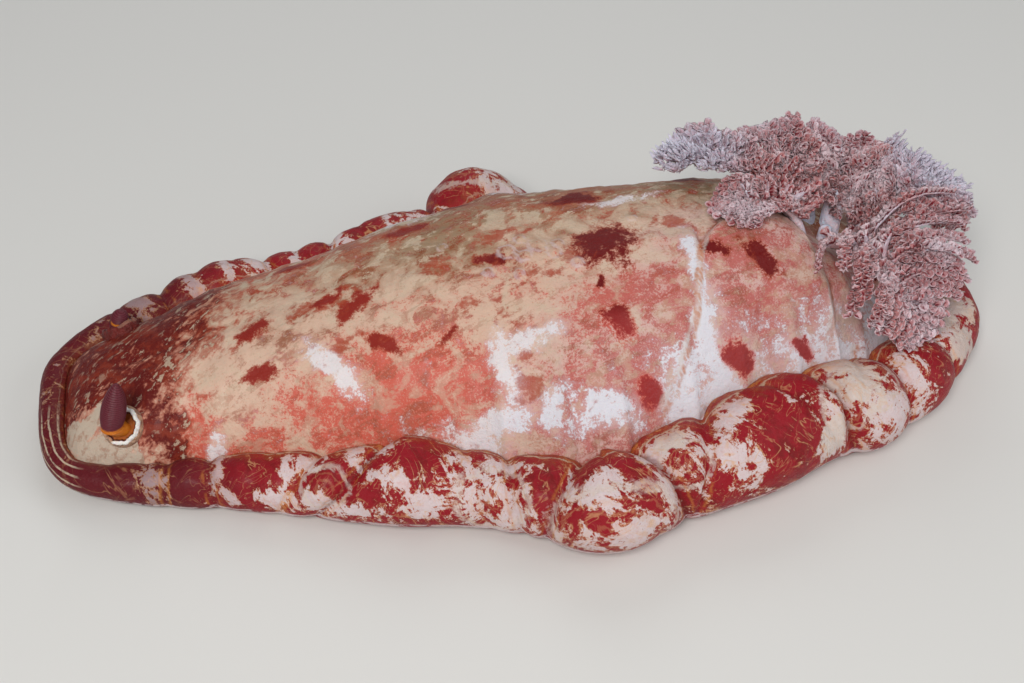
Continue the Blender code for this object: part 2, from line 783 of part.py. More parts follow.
def applied(obj, mesh):
    """Gives an object its evaluated mesh in place of its modifiers."""
    obj.modifiers.clear()
    obj.data = mesh


def fused(name, root, pieces, finish, cutter):
    """One closed body from a root, its foot cut to the back's shape, and pieces that overlap it."""
    body = object_from(name, root, finish)
    seated(body, cutter)
    applied(body, evaluated(body))
    group = bpy.data.collections.new(f"{name}_pieces")
    bpy.context.scene.collection.children.link(group)
    for k, piece in enumerate(pieces):
        part = object_from(f"{name}_piece_{k}", piece, finish)
        bpy.context.scene.collection.objects.unlink(part)
        group.objects.link(part)
    union = body.modifiers.new("union", "BOOLEAN")
    union.operation = "UNION"
    union.operand_type = "COLLECTION"
    union.collection = group
    for solver in ("EXACT", "MANIFOLD"):
        union.solver = solver
        mesh = evaluated(body)
        if is_closed(mesh):
            break
    applied(body, mesh)
    for part in list(group.objects):
        bpy.data.objects.remove(part)
    bpy.data.collections.remove(group)
    keep_largest(body)


def gill(plume, cutter, finish):
    """A gill: a trunk with flaps on both sides and one at its end, and leaflets standing on them."""
    pieces = []
    step = (LAST_BRANCH - FIRST_BRANCH) / (BRANCHES - 0.5)
    stands = [(FIRST_BRANCH + step * k, 1) for k in range(BRANCHES)]
    stands += [(FIRST_BRANCH + step * (k + 0.5), -1) for k in range(BRANCHES)]
    for u, side in stands + [(LAST_BRANCH, 0)]:
        line, face, length = flap_line(plume, u, side)
        scale = min(max(length / FLAP_LENGTH, 0.8), 1.4)
        sizes = [(half * scale, thick) for _, half, thick in FLAP]
        pieces.append(vane_mesh(plume, line, sizes, face, FLAP_SECTION))
        pieces += leaflets(plume, line, face)
    fused(plume.name, trunk_mesh(plume), pieces, finish, cutter)


def papilla(ground, cutter, finish):
    """The anal papilla in the middle of the gills."""
    base = ground.height(*CROWN)
    turns = [2 * math.pi * k / PAPILLA_SIDES for k in range(PAPILLA_SIDES)]
    rings = []
    for height, radius in PAPILLA:
        middle = Vector((*CROWN, base + height))
        rings.append([middle + Vector((math.cos(t), math.sin(t), 0)) * radius for t in turns])
    bm = bmesh.new()
    swept(bm, rings)
    seated(object_from("anal_papilla", bm, finish), cutter)


def main():
    """Builds the whole animal."""
    clear_scene()
    rim = Rim()
    mottled = material("mottled_skin", (0.80, 0.38, 0.30), 0.4)
    margin = material("margin_skin", (0.55, 0.07, 0.06), 0.4)
    sole = material("sole_skin", (0.78, 0.36, 0.28), 0.45)
    club = material("rhinophore_skin", (0.20, 0.04, 0.06), 0.45)
    white = material("sheath_rim", (0.80, 0.38, 0.30), 0.4)
    feathery = material("gill_skin", (0.62, 0.33, 0.36), 0.45)
    back_pieces(rim, mottled)
    roll_pieces(rim, margin)
    underside_pieces(sole, mottled)
    ground = Ground(rim)
    cutter = seat_cutter(rim)
    for name, side in (("rhinophore_sheath_left", LEFT), ("rhinophore_sheath_right", RIGHT)):
        sheath(name, side, ground, cutter, white)
    for row in RHINOPHORES:
        rhinophore(*row, ground, cutter, club)
    for row in PLUMES:
        gill(Plume(row, ground), cutter, feathery)
    papilla(ground, cutter, feathery)


main()
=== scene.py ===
"""Looks of the Spanish dancer sea slug: skin, gills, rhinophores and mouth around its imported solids.

Metres in the meshes, millimetres in the tables. The head points to -X and the animal's left side to -Y.
"""

import logging
import math
from collections.abc import Callable
from dataclasses import dataclass, field
from enum import Enum
from functools import partial

import bmesh
import bpy
import numpy as np
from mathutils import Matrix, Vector, noise
from mathutils.bvhtree import BVHTree


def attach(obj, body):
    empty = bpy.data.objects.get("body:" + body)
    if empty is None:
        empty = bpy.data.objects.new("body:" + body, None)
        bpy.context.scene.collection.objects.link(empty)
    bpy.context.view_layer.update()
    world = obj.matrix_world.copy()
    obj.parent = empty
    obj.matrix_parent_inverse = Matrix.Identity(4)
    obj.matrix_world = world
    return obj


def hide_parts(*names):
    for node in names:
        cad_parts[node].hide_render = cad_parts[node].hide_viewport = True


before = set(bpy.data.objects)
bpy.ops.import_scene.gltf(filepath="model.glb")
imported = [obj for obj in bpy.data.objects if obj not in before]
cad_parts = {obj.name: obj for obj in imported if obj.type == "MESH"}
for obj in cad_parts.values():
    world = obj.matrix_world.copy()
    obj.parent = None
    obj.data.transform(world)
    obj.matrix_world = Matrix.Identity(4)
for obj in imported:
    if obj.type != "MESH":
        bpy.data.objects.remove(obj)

MM = 0.001
WELD = 0.01 * MM
FAR = 1e9
TINY = 1e-6
# The part's origin on the body's own axes, in millimetres.
CENTRE = np.array([5.57, 5.88, 0.0])
# The middle of the gills' crown.
CROWN = (106.0, 6.0)
# The numbers that every vertex of a gill carries.
GILL_NUMBERS = ("leaf", "rim", "fold", "frost")
# Noise about 0.5 times this swings between about -1 and 1.
SWING = 5
BODY = "root"
log = logging.getLogger("dancer")


class Side(Enum):
    """The animal's own left and right."""

    LEFT = -1
    RIGHT = 1


# Small helpers


def eased(x: np.ndarray, xs: np.ndarray, ys: np.ndarray) -> np.ndarray:
    """Smooth curve through points, flat past its ends.

    Args:
        x: places to read.
        xs: places of the points, rising.
        ys: their values.

    Returns:
        The curve's values at x.
    """
    slopes = np.gradient(ys, xs)
    x = np.clip(x, xs[0], xs[-1])
    k = np.clip(np.searchsorted(xs, x) - 1, 0, len(xs) - 2)
    step = xs[k + 1] - xs[k]
    t = (x - xs[k]) / step
    start = ys[k] * (1 + 2 * t) * (1 - t) ** 2 + slopes[k] * step * t * (1 - t) ** 2
    end = ys[k + 1] * t * t * (3 - 2 * t) + slopes[k + 1] * step * t * t * (t - 1)
    return start + end


def smooth(low: float, high: float, value: np.ndarray) -> np.ndarray:
    """Smooth step of value from 0 at low to 1 at high."""
    t = np.clip((value - low) / (high - low), 0, 1)
    return t * t * (3 - 2 * t)


def bell(value: np.ndarray, width: float) -> np.ndarray:
    """A bell of height 1 about 0."""
    return np.exp(-((value / width) ** 2))


def waves(x: np.ndarray, y: np.ndarray, z: np.ndarray, scale: float, detail: int) -> np.ndarray:
    """Soft fractal waves at points in millimetres.

    Args:
        x, y, z: the points.
        scale: waves per millimetre of the broadest ones.
        detail: how many finer layers.

    Returns:
        Values of about -1 to 1.
    """
    points = np.stack(np.broadcast_arrays(x, y, z), -1).reshape(-1, 3) * scale
    values = [noise.fractal(Vector(p), 0.8, 2.1, detail) for p in points]
    return np.array(values).reshape(np.broadcast(x, y, z).shape)


def in_metres(points: np.ndarray) -> np.ndarray:
    """Points in millimetres on the body's own axes as metres from the part's origin."""
    return (np.asarray(points, float) - CENTRE) * MM


def add_object(name: str, mesh: bpy.types.Mesh, finish: bpy.types.Material) -> bpy.types.Object:
    """Links a finished mesh as an object at the origin.

    Args:
        name: the piece's name.
        mesh: its mesh, in metres.
        finish: its material.

    Returns:
        The object.
    """
    mesh.materials.clear()
    mesh.materials.append(finish)
    mesh.shade_smooth()
    obj = bpy.data.objects.new(name, mesh)
    bpy.context.scene.collection.objects.link(obj)
    return obj


def mesh_from(name: str, bm: bmesh.types.BMesh) -> bpy.types.Mesh:
    """Closes a bmesh's work.

    Args:
        name: the mesh's name.
        bm: the work, which is freed.

    Returns:
        The mesh.
    """
    mesh = bpy.data.meshes.new(name)
    bm.to_mesh(mesh)
    bm.free()
    return mesh


def attribute(mesh: bpy.types.Mesh, name: str, values: np.ndarray) -> None:
    """Writes one number per vertex under a name."""
    made = mesh.attributes.new(name, "FLOAT", "POINT")
    made.data.foreach_set("value", np.ascontiguousarray(values, dtype=np.float32).ravel())


def grid(name: str, columns: int, rows: int) -> tuple:
    """A flat grid, to be bent into a surface that closes on itself.

    Args:
        name: the mesh's name.
        columns: how many columns of vertices it has.
        rows: how many rows of faces.

    Returns:
        The mesh, each vertex's column, and its way across the rows as a share.
    """
    bm = bmesh.new()
    bmesh.ops.create_grid(bm, x_segments=columns - 1, y_segments=rows, size=0.5)
    mesh = mesh_from(name, bm)
    flat = np.zeros(len(mesh.vertices) * 3, np.float32)
    mesh.vertices.foreach_get("co", flat)
    across, along = flat.reshape(-1, 3)[:, :2].astype(float).T + 0.5
    return mesh, np.rint(across * (columns - 1)).astype(int), along


def move(mesh: bpy.types.Mesh, points: np.ndarray) -> None:
    """Moves a mesh's vertices to points in millimetres."""
    mesh.vertices.foreach_set("co", in_metres(points).astype(np.float32).ravel())


def weld(mesh: bpy.types.Mesh, fill: bool = False) -> BVHTree:
    """Merges a mesh's doubles and turns its faces outwards.

    Args:
        mesh: the mesh.
        fill: whether its open edges are filled too.

    Returns:
        A tree that finds where a ray meets it.
    """
    bm = bmesh.new()
    bm.from_mesh(mesh)
    bmesh.ops.remove_doubles(bm, verts=bm.verts, dist=WELD)
    if fill:
        bmesh.ops.holes_fill(bm, edges=[edge for edge in bm.edges if edge.is_boundary], sides=0)
    bmesh.ops.recalc_face_normals(bm, faces=bm.faces)
    tree = BVHTree.FromBMesh(bm)
    bm.to_mesh(mesh)
    bm.free()
    return tree


def shaped(
    name: str, rounds: int, rings: int, shape: Callable, finish: bpy.types.Material
) -> bpy.types.Object:
    """A piece made from a sphere of radius 1, each vertex moved by a rule.

    Args:
        name: the piece's name.
        rounds, rings: the sphere's segments.
        shape: the rule, from a vertex's x, y and z to its point in millimetres and its numbers.
        finish: the piece's material.

    Returns:
        The object.
    """
    bm = bmesh.new()
    bmesh.ops.create_uvsphere(bm, u_segments=rounds, v_segments=rings, radius=1)
    numbers = []
    for vertex in bm.verts:
        point, values = shape(*vertex.co)
        vertex.co = Vector(in_metres(point))
        numbers.append(values)
    bmesh.ops.recalc_face_normals(bm, faces=bm.faces)
    mesh = mesh_from(name, bm)
    for number in numbers[0]:
        attribute(mesh, number, np.array([values[number] for values in numbers]))
    return add_object(name, mesh, finish)


# Shader writing


class Value:
    """A number or colour on its way through a material, with arithmetic that adds the nodes."""

    def __init__(self, paint: "Paint", socket: bpy.types.NodeSocket) -> None:
        """Wraps an output of one of the paint's nodes."""
        self.paint = paint
        self.socket = socket

    def __add__(self, other: "Value | float") -> "Value":
        """Sum."""
        return self.paint.math("ADD", self, other)

    __radd__ = __add__

    def __mul__(self, other: "Value | float") -> "Value":
        """Product."""
        return self.paint.math("MULTIPLY", self, other)

    __rmul__ = __mul__

    def __sub__(self, other: "Value | float") -> "Value":
        """Difference."""
        return self.paint.math("SUBTRACT", self, other)

    def __rsub__(self, other: float) -> "Value":
        """Difference from a plain number."""
        return self.paint.math("SUBTRACT", other, self)

    def size(self) -> "Value":
        """The number without its sign."""
        return self.paint.math("ABSOLUTE", self)

    def step(self, low: float, high: float) -> "Value":
        """Smooth step from 0 at low to 1 at high."""
        sockets = {"Value": self, "From Min": low, "From Max": high}
        return self.paint.node("ShaderNodeMapRange", {"interpolation_type": "SMOOTHSTEP"}, sockets)


class Paint:
    """One material being painted: a few calls that add nodes and wire them."""

    def __init__(self, name: str) -> None:
        """Starts a material with a plain shader.

        Args:
            name: its name.
        """
        self.material = bpy.data.materials.new(name)
        self.material.use_nodes = True
        self.tree = self.material.node_tree
        self.shader = self.tree.nodes["Principled BSDF"]
        self.place = self.node("ShaderNodeTexCoord", output="Object")

    def node(
        self, kind: str, settings: dict | None = None, sockets: dict | None = None, output: int | str = 0
    ) -> Value:
        """Adds a node.

        Args:
            kind: the node's type.
            settings: its own settings, set before its sockets.
            sockets: values or links by socket name or number.
            output: the output to hand on.

        Returns:
            That output.
        """
        made = self.tree.nodes.new(kind)
        for key, value in (settings or {}).items():
            setattr(made, key, value)
        for key, value in (sockets or {}).items():
            self.feed(made.inputs[key], value)
        return Value(self, made.outputs[output])

    def feed(self, socket: bpy.types.NodeSocket, value: Value | float | tuple) -> None:
        """Links or sets one input.

        Args:
            socket: the input.
            value: what it gets.
        """
        if isinstance(value, Value):
            self.tree.links.new(value.socket, socket)
        elif isinstance(value, tuple) and len(value) == 3 and socket.type == "RGBA":
            socket.default_value = (*value, 1.0)
        else:
            socket.default_value = value

    def math(self, operation: str, *values: Value | float) -> Value:
        """A Math node."""
        return self.node("ShaderNodeMath", {"operation": operation}, dict(enumerate(values)))

    def vector(self, operation: str, sockets: dict) -> Value:
        """A Vector Math node."""
        return self.node("ShaderNodeVectorMath", {"operation": operation}, sockets)

    def mix(self, share: Value, first: Value | tuple, second: Value | tuple) -> Value:
        """A colour between two, by a share."""
        sockets = {0: share, 6: first, 7: second}
        return self.node("ShaderNodeMix", {"data_type": "RGBA"}, sockets, output=2)

    def layered(self, colour: Value | tuple, *layers: tuple) -> Value:
        """A colour with others laid over it.

        Args:
            colour: the lowest one.
            layers: the others from the bottom up, each as its share and its colour.

        Returns:
            The whole.
        """
        for share, tint in layers:
            colour = self.mix(share, colour, tint)
        return colour

    def read(self, name: str) -> Value:
        """One of the mesh's own numbers."""
        return self.node("ShaderNodeAttribute", {"attribute_name": name}, output="Fac")

    def grain(
        self, scale: float, detail: float, rough: float, place: Value | None = None, bend: float = 0
    ) -> Value:
        """Noise.

        Args:
            scale: its waves to the metre.
            detail, rough: how many finer layers it has, and how strong they are.
            place: where it is read, by default the place on the object.
            bend: how far it bends itself.

        Returns:
            Values of about 0 to 1, about 0.5.
        """
        sockets = {"Vector": place or self.place, "Scale": scale, "Detail": detail}
        sockets |= {"Roughness": rough, "Distortion": bend}
        return self.node("ShaderNodeTexNoise", None, sockets)

    def swing(
        self, scale: float, detail: float, rough: float, place: Value | None = None, bend: float = 0
    ) -> Value:
        """The same noise, swinging between about -1 and 1."""
        return (self.grain(scale, detail, rough, place, bend) - 0.5) * SWING

    def stretched(self, place: Value, scale: tuple, turn: float) -> Value:
        """A place turned about Z, then scaled, so that patterns stretch along the turned X."""
        sockets = {"Vector": place, "Scale": tuple(1 / s for s in scale), "Rotation": (0, 0, turn)}
        return self.node("ShaderNodeMapping", {"vector_type": "TEXTURE"}, sockets)

    def warped(self, place: Value, scale: float, amount: float) -> Value:
        """A place pushed about by coloured noise.

        Args:
            place: the place.
            scale: the noise's waves to the metre.
            amount: how far it pushes, in metres.

        Returns:
            The new place.
        """
        sockets = {"Vector": place, "Scale": scale, "Detail": 3}
        push = self.node("ShaderNodeTexNoise", None, sockets, "Color")
        middle = self.vector("SUBTRACT", {0: push, 1: (0.5, 0.5, 0.5)})
        moved = self.vector("SCALE", {0: middle, "Scale": amount})
        return self.vector("ADD", {0: place, 1: moved})

    def finish(
        self,
        colour: Value | tuple,
        rough: Value | float,
        bump: Value | None = None,
        depth: float = 0.0,
        **plain: float | tuple,
    ) -> bpy.types.Material:
        """Wires the shader.

        Args:
            colour: the base colour.
            rough: the roughness.
            bump: a height of about 0 to 1, if any.
            depth: what the height's whole range stands for, in metres.
            plain: plain numbers for other sockets, by their names with underscores.

        Returns:
            The material.
        """
        self.feed(self.shader.inputs["Base Color"], colour)
        self.feed(self.shader.inputs["Roughness"], rough)
        if bump is not None:
            sockets = {"Height": bump, "Distance": depth, "Strength": 1.0}
            self.feed(self.shader.inputs["Normal"], self.node("ShaderNodeBump", None, sockets))
        for key, value in plain.items():
            self.feed(self.shader.inputs[key.replace("_", " ")], value)
        return self.material


# The body's shape


@dataclass
class Body:
    """The slug's shape: its rolled margin, its domed back and its foot, all in millimetres."""

    half_steps: int = 372
    rim_samples: int = 1500
    head_end: float = -146.5
    tail_end: float = 152.0
    axis_y: float = 9.0
    # Place along, reach of the roll's centre line left and right, the roll's radius left and right.
    stations: tuple = (
        (-142, 25, 24, 4, 5.5), (-123, 34, 35, 6.3, 8.5), (-95, 40, 47, 8.5, 9.5),
        (-60, 51, 52, 10.4, 10), (-25, 60, 60, 11.4, 10.5), (12, 73, 66, 12.8, 11.2),
        (50, 67, 61, 15, 10), (80, 57, 58, 15.6, 10), (108, 50, 53, 13.6, 10), (128, 40, 46, 12, 10),
        (144, 26, 33, 10, 9.5),
    )
    # Broad lobes of the roll: side, place, half length, push outwards, gain in radius.
    lobes: tuple = (
        (-1, -42, 14, 0, 2.6), (-1, 14, 12, 4, 2.2), (-1, 66, 14, 1, 1.2), (-1, 101, 8, 3, 1),
        (-1, 122, 9, 1, 1), (1, -92, 13, 0, 1.2), (1, -33, 14, 2, 1), (1, 2, 12, 6, 3.6),
        (1, 52, 16, 0, 0.8), (1, 100, 14, 1, 1),
    )
    # Creases across the roll: side, place, depth as a share of the radius, and slant in mm per radian.
    creases: tuple = (
        (-1, -131, 0.08, 0), (-1, -120, 0.1, 1), (-1, -112, 0.2, 0), (-1, -99, 0.26, -1),
        (-1, -95, 0.12, 0), (-1, -83, 0.08, 2), (-1, -70, 0.18, 4), (-1, -53, 0.28, 7),
        (-1, -24, 0.12, -4), (-1, -13, 0.24, -3), (-1, 4, 0.26, 2), (-1, 15, 0.08, -4),
        (-1, 28, 0.3, -3), (-1, 46, 0.22, 5), (-1, 74, 0.1, -8), (-1, 88, 0.28, -4), (-1, 101, 0.1, 3),
        (-1, 112, 0.26, 0), (-1, 134, 0.24, 0), (1, -124, 0.12, 0), (1, -110, 0.24, 0),
        (1, -98, 0.14, 2), (1, -86, 0.1, 1), (1, -74, 0.24, -2), (1, -62, 0.12, 0), (1, -52, 0.26, 3),
        (1, -40, 0.08, 2), (1, -14, 0.3, 2), (1, 24, 0.26, -2), (1, 50, 0.14, 4), (1, 76, 0.26, 0),
        (1, 96, 0.12, -3), (1, 118, 0.26, 0), (1, 136, 0.24, 0),
    )
    # A crease's section as shares of its depth with their half widths, and how far it reaches at all.
    crease_mouth: tuple = ((0.55, 4.2), (0.45, 1.5))
    crease_reach: float = 30.0
    # The angle round the roll at which a slanted crease keeps its place.
    crease_angle: float = 1.6
    # Where the creases cut the groove inside the roll, and how deep.
    groove_angle: float = 2.2
    groove_depth: float = 0.8
    # Crest of the back: place along the body and height.
    crest_line: tuple = (
        (-123, 24), (-95, 33), (-60, 42), (-25, 50), (15, 55), (50, 57), (80, 54), (98, 46), (115, 35),
        (138, 23),
    )
    crest_clear: float = 1.0
    # The powers of the back's section, flat on top and round at the sides.
    dome_flat: float = 2.2
    dome_round: float = 1.35
    # Swells and hollows of the back: place along, place across, radius, height. The fourth: the gill pit.
    swells: tuple = (
        (80, -16, 22, 4.5), (-30, 30, 30, 2), (-70, -8, 26, 1.5), (106, 6, 13, -4), (-123, -13, 7, 0.6),
    )
    # Half width of the head below the mantle, the foot and the tail: place along the body and half width.
    sole: tuple = (
        (-138, 8), (-131, 15), (-109.7, 15), (-95, 23), (-60, 33), (0, 41), (50, 43), (98, 35),
        (112, 29), (124, 21), (132, 12),
    )
    # The crest line's length as a share of the body's.
    spine_share: float = 0.84
    # The wall where the back meets the roll: how far in and up from the roll's centre, in its radius.
    wall_share: float = 0.74
    groove_share: float = 0.36
    # The roll's centre over the floor, in its radius.
    height_share: float = 0.94
    # How high the margin lifts at the head's end, where that starts and over what length.
    head_lift: float = 4.5
    lift_start: float = -108.0
    lift_run: float = 40.0
    underside: float = 6.7

    def __post_init__(self) -> None:
        """Works out the stations round the rim."""
        angles = self.station_angles()
        self.phi = np.concatenate([angles, angles[-2:0:-1]])
        self.side = np.concatenate([np.full(len(angles), -1), np.full(len(angles) - 2, 1)])
        self.count = len(self.phi)
        self.x = self.along(self.phi)
        self.y = self.axis_y + self.side * self.reach(self.phi, self.side)
        dx = np.roll(self.x, -1) - np.roll(self.x, 1)
        dy = np.roll(self.y, -1) - np.roll(self.y, 1)
        size = np.hypot(dx, dy)
        self.out_x, self.out_y = dy / size, -dx / size
        steps = np.hypot(self.x - np.roll(self.x, 1), self.y - np.roll(self.y, 1))
        steps[0] = 0
        self.length = np.cumsum(steps)
        self.radius = self.plain_radius()
        lift = self.head_lift * np.clip((self.lift_start - self.x) / self.lift_run, 0, 1) ** 1.3
        self.centre_z = self.height_share * self.radius + lift
        groove = 1 - self.groove_depth * self.crease_depth(np.full(self.phi.shape, self.groove_angle))
        self.wall_x = self.x - self.out_x * self.wall_share * self.radius * groove
        self.wall_y = self.y - self.out_y * self.wall_share * self.radius * groove
        self.wall_z = self.centre_z + self.groove_share * self.radius
        self.spine_x = self.midway + self.spine_share * (self.x - self.midway)
        xs, ys = np.array(self.crest_line, float).T
        self.crest = np.maximum(eased(self.spine_x, xs, ys), self.wall_z + self.crest_clear)

    @property
    def midway(self) -> float:
        """The place halfway along the body."""
        return (self.head_end + self.tail_end) / 2

    @property
    def half_length(self) -> float:
        """Half the body's length."""
        return (self.tail_end - self.head_end) / 2

    def along(self, phi: np.ndarray) -> np.ndarray:
        """Place along the body at an angle from 0 at the head's end to pi at the tail's."""
        return self.midway - self.half_length * np.cos(phi)

    def angle_at(self, x: np.ndarray) -> np.ndarray:
        """The angle whose place along the body is x."""
        return np.arccos(np.clip((self.midway - x) / self.half_length, -1, 1))

    def length_at(self, side: int, place: float) -> float:
        """Length along the rim up to a place along one side of the body."""
        on_side = np.where(self.side == side, np.abs(self.x - place), FAR)
        return self.length[int(np.argmin(on_side))]

    def lobe_sum(self, x: np.ndarray, side: np.ndarray, column: int) -> np.ndarray:
        """What the lobes add at x, from that column of their table."""
        return sum((side == lobe[0]) * lobe[column] * bell(x - lobe[1], lobe[2]) for lobe in self.lobes)

    @staticmethod
    def openness(phi: np.ndarray) -> np.ndarray:
        """0 at the head's and the tail's end, where the two sides meet, and 1 halfway."""
        return np.sqrt(np.maximum(np.sin(phi), 0))

    def reach(self, phi: np.ndarray, side: np.ndarray) -> np.ndarray:
        """Distance of the roll's centre line from the body's axis.

        Args:
            phi: angles along the rim.
            side: the side of each.

        Returns:
            The distances.
        """
        table = np.array(self.stations, float)
        angles = self.angle_at(table[:, 0])
        open_there = np.sqrt(np.sin(angles))
        left, right = (eased(phi, angles, table[:, column] / open_there) for column in (1, 2))
        lobed = np.where(side == -1, left, right) + self.lobe_sum(self.along(phi), side, 3)
        return lobed * self.openness(phi)

    def plain_radius(self) -> np.ndarray:
        """The roll's radius with its lobes and without its creases.

        Returns:
            One radius for each station; the two sides agree at both ends.
        """
        table = np.array(self.stations, float)
        left, right = (eased(self.x, table[:, 0], table[:, column]) for column in (3, 4))
        mean = (left + right) / 2
        share = np.clip(self.openness(self.phi) * 1.4, 0, 1)
        own = np.where(self.side == -1, left, right)
        return mean + (own - mean) * share + self.lobe_sum(self.x, self.side, 4) * share

    def crease_depth(self, theta: np.ndarray) -> np.ndarray:
        """How deep the creases cut the roll.

        Args:
            theta: angles round its section, one for each station or rows of them.

        Returns:
            The depths as shares of its radius.
        """
        total = np.zeros(np.broadcast(theta, self.phi).shape)
        for side, place, depth, slant in self.creases:
            beyond = self.length - self.length_at(side, place)
            away = beyond - slant * (theta - self.crease_angle)
            mouth = depth * sum(share * bell(away, half) for share, half in self.crease_mouth)
            total = np.maximum(total, mouth * (np.abs(beyond) < self.crease_reach))
        return total

    def station_angles(self) -> np.ndarray:
        """Spaces one side's stations evenly along the rim.

        Returns:
            Their angles.
        """
        dense = np.linspace(0, math.pi, self.rim_samples)
        length = np.zeros_like(dense)
        for side in (-1, 1):
            x, y = self.along(dense), self.reach(dense, np.full(dense.shape, side))
            length[1:] += np.cumsum(np.hypot(np.diff(x), np.diff(y)))
        return np.interp(np.linspace(0, length[-1], self.half_steps + 1), length, dense)

    def inwards(self, share: np.ndarray) -> tuple:
        """Places in plan at shares of the way from the spine, 0, to the wall beside the roll, 1."""
        x = self.spine_x + (self.wall_x - self.spine_x) * share
        return x, self.axis_y + (self.wall_y - self.axis_y) * share

    def back(self, share: np.ndarray) -> np.ndarray:
        """Points of the back.

        Args:
            share: the way from the crest line, 0, to the groove beside the roll, 1.

        Returns:
            One point for each station.
        """
        x, y = self.inwards(share)
        dome = np.maximum(1 - share**self.dome_flat, 0) ** (1 / self.dome_round)
        z = self.wall_z + (self.crest - self.wall_z) * dome
        for swell_x, swell_y, radius, height in self.swells:
            z = z + height * (1 - share**6) * bell(np.hypot(x - swell_x, y - swell_y), radius)
        return np.stack([x, y, z], -1)


@dataclass
class Relief:
    """What stands proud of the plain back: folds with a rounded edge, small swells and tubercles."""

    # Folds: points along the edge, with the raised side on its left, height and fade inwards.
    folds: tuple = (
        (((33, -50), (38, -46), (43, -41), (47, -35), (51, -29), (54, -20), (57, -9), (58, 3)), 3, 22),
        (
            (
                (88, -37), (94, -33), (97, -27), (97, -20), (95, -13), (94, -4), (91, 3), (84, 5),
                (74, 2), (65, -2), (59, -7), (55, -15), (52, -24), (50, -32), (51, -38),
            ),
            3.4, 18,
        ),
        (((100, -40), (105, -30), (107, -20), (103, -9), (101, 0)), 1.3, 7),
        (((-92, -32), (-97, -26), (-104, -19), (-113, -17)), 0.6, 8),
    )
    fold_lip: float = 1.5
    # The share of a fold's length over which it fades at each end.
    fold_fade: float = 0.12
    # Low swells: place along, place across, radius and height.
    knolls: tuple = (
        (30, -44, 8, 1), (62, -33, 6, 0.9), (85, -28, 7, 0.9), (-38, -30, 12, 0.9), (5, -40, 9, 0.7),
        (-70, -20, 10, 0.6), (26, -26, 9, 0.7), (30, 0, 11, 0.8), (-5, 20, 12, 0.9), (25, 26, 12, 1),
        (60, 25, 12, 0.9), (-50, 20, 12, 0.8), (-85, 15, 10, 0.7),
    )
    # Tubercles: place along, place across and radius.
    tubercles: tuple = (
        (-1, 4, 2.6), (4, 0, 2.3), (9, 4, 3), (13, -1, 2.2), (4, 8, 1.8), (15, 3, 1.9), (-8, -2, 1.6),
        (1, -6, 1.5), (19, -7, 1.7), (-20, 12, 1.6), (40, 8, 1.6),
    )
    tubercle_height: float = 1.3
    ring_half: float = 0.8

    def height(self, x: np.ndarray, y: np.ndarray) -> np.ndarray:
        """Height over the plain back.

        Args:
            x, y: places in plan.

        Returns:
            The heights in millimetres.
        """
        total = np.zeros(x.shape)
        for edge, height, fade in self.folds:
            weight, inside = self.beside(x, y, edge)
            lip = smooth(-self.fold_lip, self.fold_lip, inside) * np.exp(-np.maximum(inside, 0) / fade)
            total += height * lip * weight
        for place_x, place_y, radius, height in self.knolls:
            total += height * bell(np.hypot(x - place_x, y - place_y), radius)
        for place_x, place_y, radius in self.tubercles:
            total += self.tubercle_height * bell(np.hypot(x - place_x, y - place_y), radius)
        return total

    def rings(self, x: np.ndarray, y: np.ndarray) -> np.ndarray:
        """The pale rings round the tubercles.

        Args:
            x, y: places in plan.

        Returns:
            1 on a ring, 0 away from it.
        """
        total = np.zeros(x.shape)
        for place_x, place_y, radius in self.tubercles:
            away = np.hypot(x - place_x, y - place_y) - radius
            total = np.maximum(total, bell(away, self.ring_half))
        return total

    def fold_line(self, x: np.ndarray, y: np.ndarray, inward: float, half: float) -> np.ndarray:
        """A line beside the edge of each high fold.

        Args:
            x, y: places in plan.
            inward: the line's distance from the edge into the raised side.
            half: its half width.

        Returns:
            1 on the line, 0 away from it.
        """
        total = np.zeros(x.shape)
        for edge, height, _ in self.folds:
            if height >= 1:
                weight, inside = self.beside(x, y, edge)
                total = np.maximum(total, weight * bell(inside - inward, half))
        return total

    def beside(self, x: np.ndarray, y: np.ndarray, edge: tuple) -> tuple:
        """How far places lie to the left of a line, and a weight that fades past its ends.

        Args:
            x, y: the places.
            edge: the line's points.

        Returns:
            The weight and the signed distance.
        """
        edge = np.array(edge, float)
        best = np.full(x.shape, FAR)
        signed = np.zeros(x.shape)
        weight = np.zeros(x.shape)
        count = len(edge) - 1
        for k in range(count):
            start, step = edge[k], edge[k + 1] - edge[k]
            size = np.hypot(*step)
            t = ((x - start[0]) * step[0] + (y - start[1]) * step[1]) / size**2
            held = np.clip(t, 0, 1)
            away = np.hypot(x - start[0] - step[0] * held, y - start[1] - step[1] * held)
            cross = (step[0] * (y - start[1]) - step[1] * (x - start[0])) / size
            share = (k + held) / count
            nearer = away < best
            best = np.where(nearer, away, best)
            signed = np.where(nearer, np.where(cross < 0, -1, 1) * away, signed)
            end = smooth(0, self.fold_fade, share) * smooth(0, self.fold_fade, 1 - share)
            weight = np.where(nearer, end, weight)
        return weight, signed


